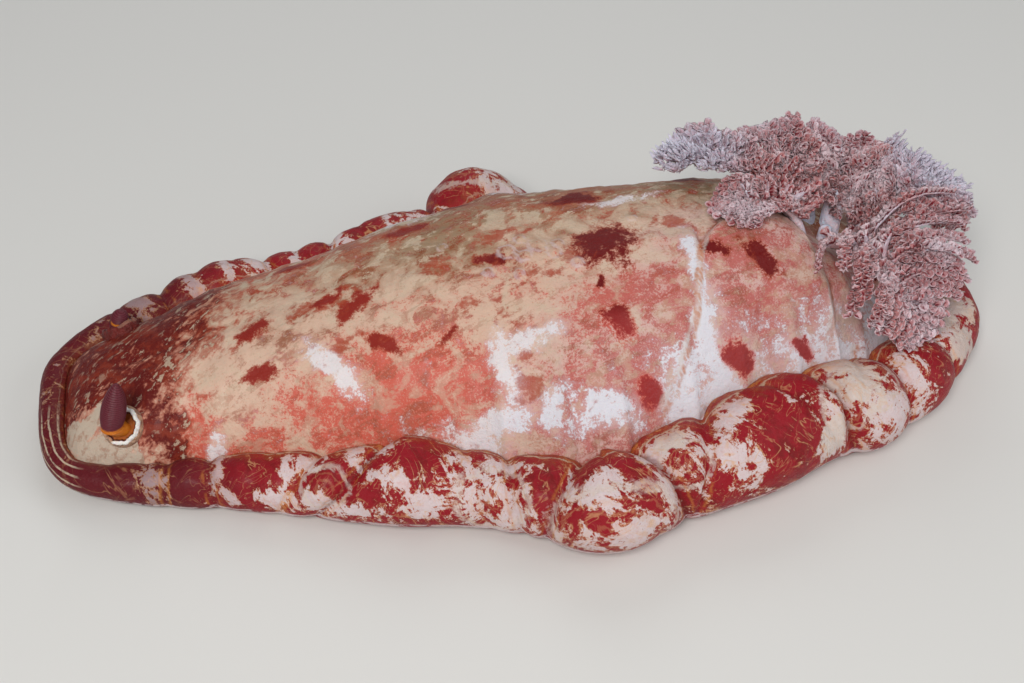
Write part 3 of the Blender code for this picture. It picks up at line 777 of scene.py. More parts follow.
@dataclass
class Markings:
    """Where the skin's named markings lie: place along, place across, half length, half width and turn."""

    dark: tuple = (
        (-80, 2, 5.5, 2.4, 10), (-81, -13, 6.5, 2.4, 0), (-49, -1, 7.5, 3.2, 25), (-57, 4, 5, 1.6, 20),
        (-43, -17, 5, 2, -25), (-24, -18, 3.4, 1.5, 25), (-6, 3, 4.4, 1.8, -10),
        (24, -14.5, 3, 1.4, 40), (30, -1, 9.6, 9.2, 0), (27, -29, 5, 5, 30), (32, -44.5, 5, 3.2, 0),
        (60.5, -11.5, 4.2, 1.8, -30), (62, -36, 5.2, 3, -20), (74.5, -15.5, 7.4, 3, -35),
        (85, -32, 4, 1.8, 0), (93, -45, 3.4, 2.6, 0), (27, 26, 8, 4.6, 0), (-28, 28, 5, 2.6, 20),
        (-66, 30, 5.5, 3, -10), (66, 32, 6, 4, 10), (-10, 42, 4.6, 3, 0), (48, 44, 5.4, 3.4, 20),
        (-40, 44, 4, 2.2, -20), (92, 30, 4.2, 3, 0), (118, -8, 3.4, 2.4, 0), (124, 14, 4.2, 3, 10),
    )
    rusty: tuple = (
        (-5, -18, 5.4, 3.2, -40), (-16, -12, 3.4, 2, 0), (-3, -37, 4, 3, 0), (-3, -31, 2.4, 1.8, 0),
        (-60, 3, 10, 3, 15), (-52, -12, 9, 2, 0), (-22, 4, 6.5, 3.4, 0), (7, -8, 8, 2.4, 0),
        (52, 4, 6, 3, 0), (-1, 12, 10, 3, 0),
    )
    red: tuple = (
        (-38, -31, 27, 10, -8), (-62, -26, 12, 4, -20), (-101, -18, 6, 9, 0), (-86, -27, 9, 3, 0),
        (-14, -34, 8, 6, 0), (10, -45, 17, 7, 0), (31, -42, 10, 10, 0), (46, -28, 8, 13, 0),
        (28, -22, 12, 7, 0), (86, -19, 9, 9, 0), (66, -13, 15, 8, -10), (74, -26, 12, 7, 0),
        (88, -24, 8, 10, 0), (20, 30, 26, 12, 0), (-50, 32, 24, 9, 0), (75, 38, 20, 9, 0),
        (118, 26, 12, 12, 0), (-5, 48, 22, 8, 0), (88, -38, 5, 4, 0), (104, -34, 6, 6, 0),
        (116, -30, 5, 5, 0), (104, -12, 5, 8, 0), (109, -24, 5, 5, 0), (100, 7, 7, 4, 0),
        (118, -14, 6, 5, 0), (46, -52, 6, 4, 0),
    )
    pale: tuple = (
        (67, -22, 8, 4, 0), (-90, -9, 24, 15, 0), (-62, 2, 16, 12, 0), (-10, -18, 12, 8, 0),
    )
    white: tuple = (
        (72, -46, 32, 10, -4), (88, -36, 11, 7, 0), (64, -45, 22, 8.5, -4), (52, -30, 3, 11, -10),
        (46, -46, 10, 8, -30), (54, -34, 4, 9, -10), (54, -16, 2.6, 14, 0), (-57, -19, 9.5, 2.8, -45),
        (-63, -14, 4, 3, 0), (-9, -31, 4, 8, 0), (0, -28, 9, 2.2, 10), (-15, -43, 14, 3.6, 0),
        (4, -44, 3.5, 4, 0), (18, -48, 10, 4, 0), (-97, -24, 3.5, 2, 30), (-34, -42, 7, 3, 0),
        (102, -36, 12, 9, 0), (116, -26, 10, 10, 0), (128, 2, 8, 10, 0), (20, 48, 12, 4, 0),
        (-30, 40, 9, 4, 0), (70, 50, 14, 4, 0), (100, 42, 9, 6, 0), (-60, 44, 8, 4, 0),
        (40, 20, 8, 3, 0),
    )
    cream: tuple = (
        (-132, -17, 11, 6.4, -4), (-134, -9, 5, 4, 0), (-123, -20.5, 6, 3.6, -10),
        (-138, -10, 4, 7, 10), (-131, -6, 3.4, 2.6, 0), (-127, 29, 7, 2.4, 0),
    )
    maroon: tuple = (
        (-132, 14, 24, 26, 0), (-112, 22, 20, 17, -30), (-119, -3, 11, 16, -10), (-112, -17, 6, 9, 0),
        (-100, 30, 12, 10, 0), (-128, 40, 18, 10, 0),
    )

    @staticmethod
    def field(x: np.ndarray, y: np.ndarray, marks: tuple) -> np.ndarray:
        """How deep inside the nearest marking each place lies.

        Args:
            x, y: places in plan.
            marks: the markings' table.

        Returns:
            1 in a marking's middle, 0 on its edge, then negative, not below -1.
        """
        best = np.full(x.shape, -1.0)
        for place_x, place_y, half_long, half_wide, turn in marks:
            cos, sin = math.cos(math.radians(turn)), math.sin(math.radians(turn))
            ahead = ((x - place_x) * cos + (y - place_y) * sin) / half_long
            across = ((y - place_y) * cos - (x - place_x) * sin) / half_wide
            best = np.maximum(best, 1 - np.hypot(ahead, across))
        return best


@dataclass
class MarginMarks:
    """Marks on the roll: side, place along, angle round its section in degrees, half length and height."""

    white: tuple = (
        (-1, -118, 60, 3, 70), (-1, -97, 70, 2.6, 60), (-1, -93, 20, 5, 20), (-1, -78, 20, 5, 16),
        (-1, -70, 95, 4.5, 30), (-1, -76, 60, 2, 50), (-1, -66, 20, 4, 20), (-1, -58, 0, 12, 14),
        (-1, -57, 110, 3, 30), (-1, -48, 105, 4, 20), (-1, -45, 55, 7, 14), (-1, -36, 20, 9, 22),
        (-1, -28, 60, 6, 30), (-1, -18, 40, 9, 30), (-1, -10, 5, 12, 26), (-1, -15, 95, 8, 12),
        (-1, 4, 70, 2, 60), (-1, 12, 60, 4, 26), (-1, 18, 10, 9, 26), (-1, 30, 100, 8, 30),
        (-1, 26, 50, 5, 30), (-1, 41, 60, 5, 30), (-1, 52, 50, 6, 40), (-1, 58, 100, 5, 20),
        (-1, 84, 22, 9, 34), (-1, 82, 45, 4, 12), (-1, 71, 80, 2, 16), (-1, 96, 90, 6, 60),
        (-1, 104, 20, 6, 50), (-1, 116, 40, 4, 50), (-1, 122, 110, 4, 30), (-1, 140, 110, 10, 50),
        (1, -118, 70, 2.8, 60), (1, -100, 90, 2.8, 70), (1, -88, 80, 1.8, 70), (1, -78, 90, 2.8, 70),
        (1, -64, 80, 1.8, 70), (1, -48, 95, 2.8, 60), (1, -30, 90, 1.8, 60), (1, -20, 120, 8, 40),
        (1, 8, 60, 5, 60), (1, 16, 100, 6, 40), (1, 36, 60, 6, 60), (1, 60, 90, 7, 40),
        (1, 84, 50, 6, 60), (1, 100, 110, 8, 30), (1, 122, 60, 6, 60), (1, 140, 100, 8, 50),
    )
    crimson: tuple = (
        (-1, -128, 70, 14, 120), (-1, -106, 80, 6, 120), (-1, -88, 75, 7, 70), (-1, -62, 50, 8, 34),
        (-1, -38, 75, 9, 34), (-1, 0, 60, 4.5, 120), (-1, 67, 75, 13, 76), (-1, 22, 60, 5, 60),
        (-1, 8, 95, 5, 34), (-1, 11, 32, 3, 12), (1, -6, 80, 8, 60), (1, -38, 60, 7, 60),
        (1, 48, 100, 8, 60), (1, 72, 60, 7, 80),
    )
    pale: tuple = (
        (-1, 97, 95, 9, 60), (-1, 84, 20, 9, 26), (-1, 146, 100, 14, 60), (-1, 140, 40, 10, 40),
        (-1, 35, 100, 6, 20),
    )
    # Whorls: side, place along, angle, radius in mm and how far they stand out in mm.
    whorls: tuple = (
        (-1, -64, 42, 8, 1.5), (-1, 14, 15, 16, 1.2), (-1, -15, 30, 13, 0.8), (-1, 90, 50, 11, 1.5),
        (-1, 100, 80, 11, 0.8), (-1, 36, 60, 9, 0.8), (1, 5, 50, 14, 1),
    )

    @staticmethod
    def away(body: Body, theta: np.ndarray, side: int, place: float, turn: float) -> np.ndarray:
        """Distance in millimetres on the roll from a place on it."""
        along = body.length - body.length_at(side, place)
        return np.hypot(along, (theta - math.radians(turn)) * body.radius)

    def push(self, body: Body, theta: np.ndarray) -> np.ndarray:
        """How far the whorls stand out of the roll.

        Args:
            body: the body.
            theta: angles round the roll's section.

        Returns:
            The distances in millimetres.
        """
        total = np.zeros(np.broadcast(theta, body.phi).shape)
        for side, place, turn, radius, height in self.whorls:
            away = self.away(body, theta, side, place, turn) / radius
            total += height * (bell(away, 0.75) + 0.13 * np.cos(away * 14) * bell(away, 0.7))
        return total

    def nearest(self, body: Body, theta: np.ndarray) -> np.ndarray:
        """Distance from the nearest whorl's middle.

        Args:
            body: the body.
            theta: angles round the roll's section.

        Returns:
            The distances as shares of its radius, 2 at most.
        """
        best = np.full(np.broadcast(theta, body.phi).shape, 2.0)
        for side, place, turn, radius, _ in self.whorls:
            best = np.minimum(best, self.away(body, theta, side, place, turn) / radius)
        return best

    @staticmethod
    def field(body: Body, theta: np.ndarray, marks: tuple) -> np.ndarray:
        """How deep inside the nearest marking each place on the roll lies.

        Args:
            body: the body.
            theta: angles round the roll's section.
            marks: the markings' table.

        Returns:
            1 in a marking's middle, 0 on its edge, then negative, not below -1.
        """
        best = np.full(np.broadcast(theta, body.phi).shape, -1.0)
        for side, place, turn, half_long, half_high in marks:
            ahead = (body.length - body.length_at(side, place)) / half_long
            round_it = np.degrees(theta - math.radians(turn)) / half_high
            best = np.maximum(best, 1 - np.hypot(ahead, round_it))
        return best


@dataclass
class Skin:
    """The whole skin as one closed surface: back, rolled margin, underside, head and foot."""

    body: Body
    relief: Relief = field(default_factory=Relief)
    marks: Markings = field(default_factory=Markings)
    margin: MarginMarks = field(default_factory=MarginMarks)
    back_columns: int = 58
    # How much the back's columns crowd towards the roll.
    back_crowding: float = 1.22
    roll_columns: int = 50
    roll_start: float = 141.0
    roll_end: float = -134.0
    # The underside: shares of the way from the foot's edge out to the wall, distances in from that edge
    # with heights, and shares of the way from there to the middle of the sole.
    under_shares: tuple = (0.99, 0.85, 0.66, 0.4, 0.15, 0.0)
    foot_side: tuple = ((0.0, 4.6), (0.0, 1.8), (0.5, 0.5), (1.6, 0.0))
    sole_shares: tuple = (0.7, 0.35, 0.0)
    under_samples: int = 240
    # The sole's height under the head, which ends here.
    head_floor: float = 0.4
    head_back: float = -110.0
    # How far the markings' outlines wander.
    wander: float = 2.6

    def sole_width(self, x: np.ndarray) -> np.ndarray:
        """Half width of what stands on the floor, 0 past its ends."""
        xs, ys = np.array(self.body.sole, float).T
        return np.interp(x, xs, ys, left=0, right=0)

    def back_rows(self) -> np.ndarray:
        """The back's columns.

        Returns:
            Their points.
        """
        rows = []
        for share in 1 - (1 - np.linspace(0, 1, self.back_columns)) ** self.back_crowding:
            points = self.body.back(share)
            x, y, z = points.T
            wave = waves(x, y, np.zeros_like(x), 0.05, 3) * 0.7 + waves(x, y, z, 0.22, 2) * 0.32
            points[:, 2] += (self.relief.height(x, y) + wave) * (1 - share**8)
            rows.append(points)
        return np.array(rows)

    def roll_rows(self) -> tuple:
        """The roll's columns.

        Returns:
            Their points and their angles.
        """
        body = self.body
        turns = np.radians(np.linspace(self.roll_start, self.roll_end, self.roll_columns))
        rows = []
        for turn in turns:
            theta = np.full(body.phi.shape, turn)
            x = body.x + body.out_x * body.radius * math.cos(turn)
            y = body.y + body.out_y * body.radius * math.cos(turn)
            z = body.centre_z + body.radius * math.sin(turn)
            wave = waves(x, y, z, 0.09, 2) * 0.05 + waves(x, y, z, 0.3, 2) * 0.018
            # The creases, waves and whorls fade below, where the roll rests on the floor.
            above = smooth(-0.75, 0.3, math.sin(turn))
            cut = body.crease_depth(theta) * (0.3 + 0.7 * above)
            radius = body.radius * (1 - cut + wave * above) + self.margin.push(body, theta) * above
            out, up = np.cos(theta) * radius, np.sin(theta) * radius
            height = np.maximum(body.centre_z + up, 0.0)
            rows.append(np.stack([body.x + body.out_x * out, body.y + body.out_y * out, height], -1))
        return np.array(rows), turns

    def under_rows(self) -> np.ndarray:
        """The underside's columns: in under the mantle, down the foot's side and across the sole.

        Returns:
            Their points.
        """
        body = self.body
        shares = np.linspace(0, 1, self.under_samples)[:, None]
        xs, ys = body.inwards(shares)
        inside = np.abs(ys - body.axis_y) < self.sole_width(xs)
        edge = np.max(np.where(inside, shares, 0), axis=0)
        none = edge <= 0
        floor = np.where(body.x < self.head_back, self.head_floor, 0.0)
        reach = np.maximum(np.hypot(body.wall_x - body.spine_x, body.wall_y - body.axis_y), 1)
        rows = []
        for share in self.under_shares:
            rows.append((edge + (1 - edge) * share, np.full(body.count, body.underside)))
        for inward, height in self.foot_side:
            rim = np.maximum(edge - inward / reach, 0)
            rows.append((rim, np.where(none, body.underside, np.maximum(floor, height))))
        for share in self.sole_shares:
            rows.append((rim * share, np.where(none, body.underside, floor)))
        return np.array([np.stack([*body.inwards(share), height], -1) for share, height in rows])

    def build(self, finish: bpy.types.Material) -> bpy.types.Object:
        """Makes the skin.

        Args:
            finish: its material.

        Returns:
            The skin's object.
        """
        count = self.body.count
        roll, turns = self.roll_rows()
        points = np.concatenate([self.back_rows(), roll, self.under_rows()])
        mesh, column, along = grid("skin", len(points), count)
        row = np.rint(along * count).astype(int)
        move(mesh, points[column, row % count])
        for name, values in self.numbers(points, turns).items():
            attribute(mesh, name, values[column, row % count])
        self.write_lengths(mesh, points, column, row)
        self.ground = weld(mesh)
        return add_object("skin", mesh, finish)

    def numbers(self, points: np.ndarray, turns: np.ndarray) -> dict:
        """Where the markings lie, as numbers.

        Args:
            points: the skin's points by column and station.
            turns: the angles of the roll's columns.

        Returns:
            The numbers by name, one for each point.
        """
        x, y = points[..., 0], points[..., 1]
        first, last = self.back_columns, self.back_columns + self.roll_columns
        theta = np.full(x.shape, math.radians(self.roll_start))
        theta[first:last] = turns[:, None]
        theta[last:] = turns[-1]
        on_roll = theta[first:last]
        roll, under, crease = np.zeros((3, *x.shape))
        roll[first:last] = 1
        roll[first - 1] = 0.5
        under[last:] = 1
        crease[first:last] = [np.minimum(self.body.crease_depth(angle) * 3.6, 1.1) for angle in on_roll]
        whorl = np.full(x.shape, 2.0)
        whorl[first:last] = self.margin.nearest(self.body, on_roll)
        bent = [
            place + self.wander * waves(x + shift, y, 0 * x, 0.10, 3) for place, shift in ((x, 0), (y, 300))
        ]
        written = {
            "roll": roll,
            "under": under,
            "girth": np.degrees(theta) / 180,
            "ahead": x / 100,
            "across": y / 100,
            "crease": crease,
            "whorl": whorl,
            "rings": self.relief.rings(x, y),
            "fold": self.relief.fold_line(x, y, 0.8, 1.1),
            "fold_foot": self.relief.fold_line(x, y, -0.5, 0.6),
            "cream": Markings.field(x, y, self.marks.cream),
        }
        for name in ("dark", "rusty", "red", "pale", "white", "maroon"):
            written[name] = Markings.field(*bent, getattr(self.marks, name))
        for name in ("white", "crimson", "pale"):
            values = np.full(x.shape, -1.0)
            values[first:last] = MarginMarks.field(self.body, on_roll, getattr(self.margin, name))
            written[f"margin_{name}"] = values
        return written

    def write_lengths(
        self, mesh: bpy.types.Mesh, points: np.ndarray, column: np.ndarray, row: np.ndarray
    ) -> None:
        """Maps lengths in metres along the rim and round the section, for patterns that follow the roll.

        Args:
            mesh: the skin's mesh.
            points: its points by column and station.
            column, row: the column and station of each vertex.
        """
        body = self.body
        steps = np.linalg.norm(np.diff(points, axis=0), axis=-1)
        girth = np.concatenate([np.zeros((1, points.shape[1])), np.cumsum(steps, axis=0)])
        girth -= girth[self.back_columns]
        last_step = math.hypot(body.x[0] - body.x[-1], body.y[0] - body.y[-1])
        length = np.append(body.length, body.length[-1] + last_step)
        loops = np.zeros(len(mesh.loops), np.int32)
        mesh.loops.foreach_get("vertex_index", loops)
        u = length[row[loops]]
        v = girth[column[loops], row[loops] % body.count]
        layer = mesh.uv_layers.new(name="Lengths")
        layer.data.foreach_set("uv", (np.stack([u, v], -1) * MM).astype(np.float32).ravel())

    def from_above(self, x: float, y: float) -> tuple:
        """The skin's point under a place in plan and its direction outwards there, in metres."""
        return self.ground.ray_cast(Vector(in_metres((x, y, 200))), Vector((0, 0, -1)))[:2]

    def height(self, x: float, y: float) -> float:
        """Height of the skin under a place in plan, in millimetres."""
        place = self.from_above(x, y)[0]
        return place.z / MM if place is not None else 0.0


# Finishes


@dataclass(frozen=True)
class SkinFinish:
    """Moist skin: pale with salmon mottling on the back, crimson with white splotches on the roll."""

    pale: tuple = (0.66, 0.45, 0.34)
    pale_rear: tuple = (0.66, 0.46, 0.42)
    salmon: tuple = (0.60, 0.088, 0.056)
    rose: tuple = (0.48, 0.11, 0.095)
    rust: tuple = (0.38, 0.060, 0.025)
    brown: tuple = (0.26, 0.070, 0.025)
    dark: tuple = (0.15, 0.005, 0.005)
    brick: tuple = (0.30, 0.024, 0.014)
    blood: tuple = (0.28, 0.012, 0.016)
    tan: tuple = (0.235, 0.160, 0.072)
    white: tuple = (0.74, 0.68, 0.69)
    ice: tuple = (0.72, 0.71, 0.77)
    cream: tuple = (0.60, 0.49, 0.36)
    shell: tuple = (0.53, 0.43, 0.34)
    maroon: tuple = (0.125, 0.008, 0.006)
    crimson: tuple = (0.29, 0.008, 0.016)
    # Painted shade laid over the roll at the head's end, which stands in shadow.
    head_end_shade: tuple = (0.10, 0.007, 0.012)
    splotch: tuple = (0.66, 0.55, 0.56)
    blush: tuple = (0.60, 0.30, 0.27)
    lobe: tuple = (0.64, 0.55, 0.50)
    orange: tuple = (0.66, 0.26, 0.05)
    copper: tuple = (0.52, 0.16, 0.0375)
    ember: tuple = (0.44, 0.07, 0.03)
    hair: tuple = (0.66, 0.36, 0.17)
    sole: tuple = (0.50, 0.17, 0.12)
    # Waves to the metre of the finest speckles.
    speckle: float = 1500

    def back(self, paint: Paint) -> Value:
        """The back's colour.

        Args:
            paint: the skin's paint.

        Returns:
            The colour, from the broad mottling up to the small spots.
        """
        big = paint.swing(32, 5, 0.6, bend=0.6)
        mid = paint.swing(110, 9, 0.6, bend=0.8)
        small = paint.swing(340, 7, 0.7, bend=0.3)
        dots = paint.swing(self.speckle, 4, 0.7)
        streaks = paint.swing(1, 6, 0.66, paint.stretched(paint.place, (90, 300, 240), 0.3), 0.8)
        ahead, across = paint.read("ahead"), paint.read("across")
        rear = (ahead - across * 1.5 + mid * 0.1).step(0.1, 0.9)
        far = (across + big * 0.14 + mid * 0.1).step(-0.08, 0.24)
        near = across.step(-0.20, -0.32)
        reddish = paint.mix(rear, self.salmon, self.rose)
        milky = paint.mix(rear.step(0.2, 0.8), self.white, self.ice)
        tone = paint.mix((big + 0.5).step(0.2, 0.8), self.rust, self.brown)
        # Salmon, as a wash and as a stipple
        shade = paint.read("red") * 0.65 - paint.read("pale").step(-0.2, 0.6) * 0.45
        shade = shade + big * 0.45 + mid * 0.6 + small * 0.35 + 0.30
        cover = shade.step(-0.75, 0.8)
        stipple = (cover * 1.3 + dots * 0.95 + small * 0.35 - 0.66).step(-0.2, 0.5)
        # Tan of the far side, with brown flecks and milky ones
        late = (ahead + mid * 0.1).step(-0.95, -0.1) * 0.65 + 0.35
        haze = (mid * 0.7 + big * 0.5 + streaks * 0.4).step(0.0, 0.8) * (0.3 + far * 0.5)
        fleck = (streaks * 0.9 + small * 0.6 + dots * 0.4 + mid * 0.3).step(0.06, 0.46)
        milk = (streaks * 0.5 - mid * 0.8 + small * 0.4 - big * 0.3 + dots * 0.3).step(0.05, 0.5)
        # White patches, rusty ones, and dark spots with a soft rim
        white = paint.read("white") * 0.95 + mid * 0.75 + small * 0.55 + big * 0.2 + dots * 0.45
        rusty = paint.read("rusty") * 0.9 + mid * 0.7 + small * 0.7 + streaks * 0.4
        spot = paint.read("dark") * 1.75 + mid * 0.65 + small * 0.6 + dots * 0.4
        early = (ahead + mid * 0.1).step(0.1, -0.3) * 0.8
        heart = paint.mix(early, self.dark, self.brick)
        rings = (paint.read("rings") + mid * 0.35 + small * 0.3).step(0.45, 1.1)
        # The folds' pale edges and the thin copper lines at their feet
        edge = (paint.read("fold") + mid * 0.35 + small * 0.2).step(0.55, 1.0)
        foot = paint.read("fold_foot").step(0.15, 0.8) * (mid * 0.9 + small * 0.7 + 0.35).step(0.0, 0.8)
        colour = paint.layered(
            paint.mix(rear, self.pale, self.pale_rear),
            (cover * 0.5, reddish),
            (stipple * 0.85, reddish),
            (far * late * 0.9 * (1 - cover * 0.4), self.tan),
            (haze, tone),
            (fleck * (far * 0.6 + 0.40), tone),
            (milk * (0.4 + far * 0.5), self.cream),
            (white.step(-0.55, 0.35) * 0.5, milky),
            (white.step(-0.02, 0.36), milky),
            (rusty.step(-0.15, 0.6) * 0.75, self.rust),
            (spot.step(-0.45, 0.3) * 0.75, paint.mix(near, self.rust, self.salmon)),
            (spot.step(-0.05, 0.6) * (1 - near * 0.15), paint.mix(near, heart, self.blood)),
            (rings * 0.6, self.splotch),
        )
        colour = self.head(paint, colour, mid, small)
        return paint.layered(colour, (edge * 0.55, self.lobe), (foot * 0.65, self.copper))

    def head(self, paint: Paint, colour: Value, mid: Value, small: Value) -> Value:
        """The head's maroon cap with diagonal flecks, and the pale streaked patch by the rhinophore.

        Args:
            paint: the skin's paint.
            colour: the back's colour.
            mid, small: the back's noises.

        Returns:
            The colour with the head's over it.
        """
        flecks = paint.swing(1, 6, 0.66, paint.stretched(paint.place, (120, 420, 300), 0.75), 0.6)
        maroon = paint.read("maroon") * 1.25 + mid * 0.8 + small * 0.45 + flecks * 0.5
        light = (flecks * 0.9 + small * 0.6 + mid * 0.4).step(0.38, 0.66)
        red = (mid * 0.7 - small * 0.5 + 0.2).step(0.0, 0.8)
        cap = paint.layered(
            self.maroon,
            (red * 0.4, self.rust),
            (light * (1 - maroon.step(0.8, 1.5) * 0.6) * 0.75, self.cream),
        )
        cream = paint.read("cream") * 1.2 + mid * 0.5 + small * 0.4
        lines = (flecks * 0.8 + small * 0.6).step(0.0, 0.7) * 0.45
        return paint.layered(
            colour,
            (maroon.step(-0.8, 0.15) * 0.75, self.rust),
            (maroon.step(-0.10, 0.38), cap),
            (cream.step(0.0, 0.25), paint.mix(lines, self.shell, self.brown)),
        )

    def roll(self, paint: Paint) -> Value:
        """The rolled margin's colour.

        Args:
            paint: the skin's paint.

        Returns:
            The colour, from the crimson up to the fine pale lines.
        """
        lengths = paint.node("ShaderNodeUVMap", {"uv_map": "Lengths"})
        bent = paint.warped(paint.place, 45, 0.018)
        mid = paint.swing(120, 8, 0.66, bent, 0.7)
        small = paint.swing(400, 6, 0.7, bent)
        dots = paint.swing(self.speckle, 4, 0.7)
        bands = paint.swing(1, 6, 0.64, paint.stretched(lengths, (90, 260, 1), 1.1), 1.0)
        girth, ahead, across = paint.read("girth"), paint.read("ahead"), paint.read("across")
        # Painted shade at the head's end of the roll: darkened there, with its white splotches, fine lines
        # and orange band dimmed.
        front = (ahead + mid * 0.06).step(-0.80, -1.15)
        patchy = (small * 0.6 + 0.6).step(0.1, 0.6)
        # White splotches with a fringe, and pale lobes with streaks
        white = paint.read("margin_white") * 0.95 - paint.read("margin_crimson").step(-0.1, 0.7) * 0.7
        white = white + mid * 0.8 + small * 0.8 + bands * 0.9 + dots * 0.3
        fringe = white.step(-0.18, 0.0) * (1 - white.step(0.0, 0.2))
        pink = (small * 0.6 + dots * 0.4 + bands * 0.4 + 0.1).step(0.0, 1.1) * 0.45
        pale = paint.read("margin_pale") * 1.2 + mid * 0.7 + small * 0.4
        streaks = (bands * 0.7 + small * 0.5).step(0.05, 0.9) * 0.5
        # Whorls: rings inside and a pale outline
        whorl = paint.read("whorl")
        phase = (whorl * 4.0 + mid * 0.45 + bands * 0.3) * math.tau
        ring = paint.math("SINE", phase).step(0.35, 0.95) * (1 - whorl.step(0.6, 1.15))
        outline = (whorl + mid * 0.16 + bands * 0.1 - 0.85).size().step(0.14, 0.03) * patchy
        # Creases: painted shade, maroon at the bottom of each crease, and orange at its sides
        crease = paint.read("crease") + small * 0.08
        side = (crease - 0.52).size().step(0.16, 0.0) * (mid + 0.5).step(0.1, 0.7)
        # Lines round the head's end, and the pale line low on the roll
        lines = (paint.math("FRACT", girth * 5.5 + mid * 0.12) - 0.5).size().step(0.16, 0.07)
        near = (ahead + mid * 0.02).step(-1.36, -1.41) * (across + mid * 0.03).step(0.10, 0.0)
        low = (girth + mid * 0.03 + 0.16).size().step(0.05, 0.02)
        # The orange inner edge with a thin cream line: the roll's own orange, with painted light in how
        # strongly it shows, full on the lit left side and weak on the far right side and at the shaded
        # head's end
        lit = (1 - across.step(0.1, 0.4) * 0.6) * (1 - front * 0.75)
        flecked = (small * 0.7 + dots * 0.3 + bands * 0.5 + 0.3).step(0.0, 0.9)
        amber = paint.mix(flecked, self.ember, self.orange)
        glow = (girth + mid * 0.07 + bands * 0.03).step(0.50, 0.76) * (mid * 0.5 + 0.75).step(0.0, 1.0)
        edge = (girth + mid * 0.06 + small * 0.03).step(0.68, 0.77)
        broken = (small * 0.5 + mid * 0.5 + 0.8).step(0.0, 0.9)
        line = (girth + mid * 0.035 + small * 0.015 - 0.665).size().step(0.016, 0.004)
        return paint.layered(
            self.crimson,
            ((mid * 0.5 + bands * 0.4 + 0.4).step(0.2, 0.9) * 0.6, self.maroon),
            # Painted shade at the head's end
            (front * 0.9, self.head_end_shade),
            (fringe * 0.6, self.hair),
            (white.step(-0.04, 0.28) * (1 - front * 0.6), paint.mix(pink, self.splotch, self.blush)),
            (pale.step(0.05, 0.4) * 0.85, paint.mix(streaks, self.lobe, self.hair)),
            (ring * 0.18, self.hair),
            (outline * 0.6, self.lobe),
            (self.hairs(paint, lengths, mid) * (1 - front * 0.5), self.hair),
            # Painted shade in the bottom of the creases
            (crease.step(0.75, 1.05) * 0.6, self.maroon),
            (side * 0.35, self.orange),
            (lines * near * (small * 0.5 + 0.6).step(0.1, 0.6) * 0.8, self.cream),
            (low * (mid + small * 0.5 + 0.6).step(0.1, 0.6) * 0.9, self.splotch),
            # Painted light: the orange band, its edge and the cream line are scaled by lit, the share of
            # light painted there
            (glow * lit * 0.65, amber),
            (edge * broken * lit * 0.75, amber),
            (line * lit * (mid * 0.5 + 0.7).step(0.1, 0.8) * 0.75, self.cream),
        )

    def hairs(self, paint: Paint, lengths: Value, mid: Value) -> Value:
        """The fine pale lines of the roll: a few long ones and a net of thin ones.

        Args:
            paint: the skin's paint.
            lengths: the map that follows the roll.
            mid: the roll's middle noise.

        Returns:
            How strongly they show.
        """
        long = paint.grain(1, 3, 0.5, paint.stretched(lengths, (50, 130, 1), 0.9), 0.9) - 0.5
        thin = paint.grain(1, 2, 0.5, paint.stretched(lengths, (90, 260, 1), -0.7), 1.1) - 0.5
        strong = long.size().step(0.018, 0.0) * (mid * 0.8 + 0.5).step(0.2, 0.9)
        fine = thin.size().step(0.020, 0.0) * (0.5 - mid * 0.8).step(0.2, 0.9)
        return strong * 0.62 + fine * 0.42

    def make(self) -> bpy.types.Material:
        """Makes the material.

        Returns:
            The material.
        """
        paint = Paint("mottled_skin")
        soft = paint.grain(130, 4, 0.6)
        fine = paint.grain(520, 6, 0.62)
        pores = paint.grain(2300, 3, 0.6)
        return paint.finish(
            paint.layered(
                self.back(paint),
                (paint.read("roll").step(0.45, 0.8), self.roll(paint)),
                (paint.read("under"), self.sole),
            ),
            0.38 + fine * 0.2,
            soft * 0.5 + fine * 0.35 + pores * 0.15,
            0.0011,
            Specular_IOR_Level=0.18,
            Subsurface_Weight=0.08,
            Subsurface_Radius=(0.9, 0.35, 0.25),
            Subsurface_Scale=0.0025,
            Coat_Weight=0.04,
            Coat_Roughness=0.15,
        )


@dataclass(frozen=True)
class GillFinish:
    """Mauve-pink leaflets with whitish-lilac edges and dark red lines in their folds, on lilac stems."""

    mauve: tuple = (0.50, 0.19, 0.19)
    deep: tuple = (0.22, 0.010, 0.022)
    lilac: tuple = (0.84, 0.66, 0.71)
    frost: tuple = (0.74, 0.78, 0.95)

    def make(self) -> bpy.types.Material:
        """Makes the material.

        Returns:
            The material.
        """
        paint = Paint("gill_skin")
        small = paint.swing(700, 4, 0.6)
        broad = paint.swing(80, 4, 0.6)
        stem = paint.mix((broad + 0.5).step(0.0, 1.0), self.lilac, self.frost)
        leaf = paint.layered(
            self.mauve,
            ((broad * 0.8 + small * 0.3 + 0.3).step(0.1, 1.1), self.lilac),
            ((paint.read("rim") + small * 0.2).step(0.4, 1.0) * 0.9, self.lilac),
            (paint.read("frost") * 0.7, self.frost),
            ((paint.read("fold") + small * 0.1).step(0.44, 0.80) * 0.95, self.deep),
        )
        return paint.finish(
            paint.mix(paint.read("leaf"), stem, leaf),
            0.45,
            small + 0.5,
            0.0002,
            Specular_IOR_Level=0.2,
            Subsurface_Weight=0.2,
            Subsurface_Radius=(0.9, 0.45, 0.45),
            Subsurface_Scale=0.0015,
        )


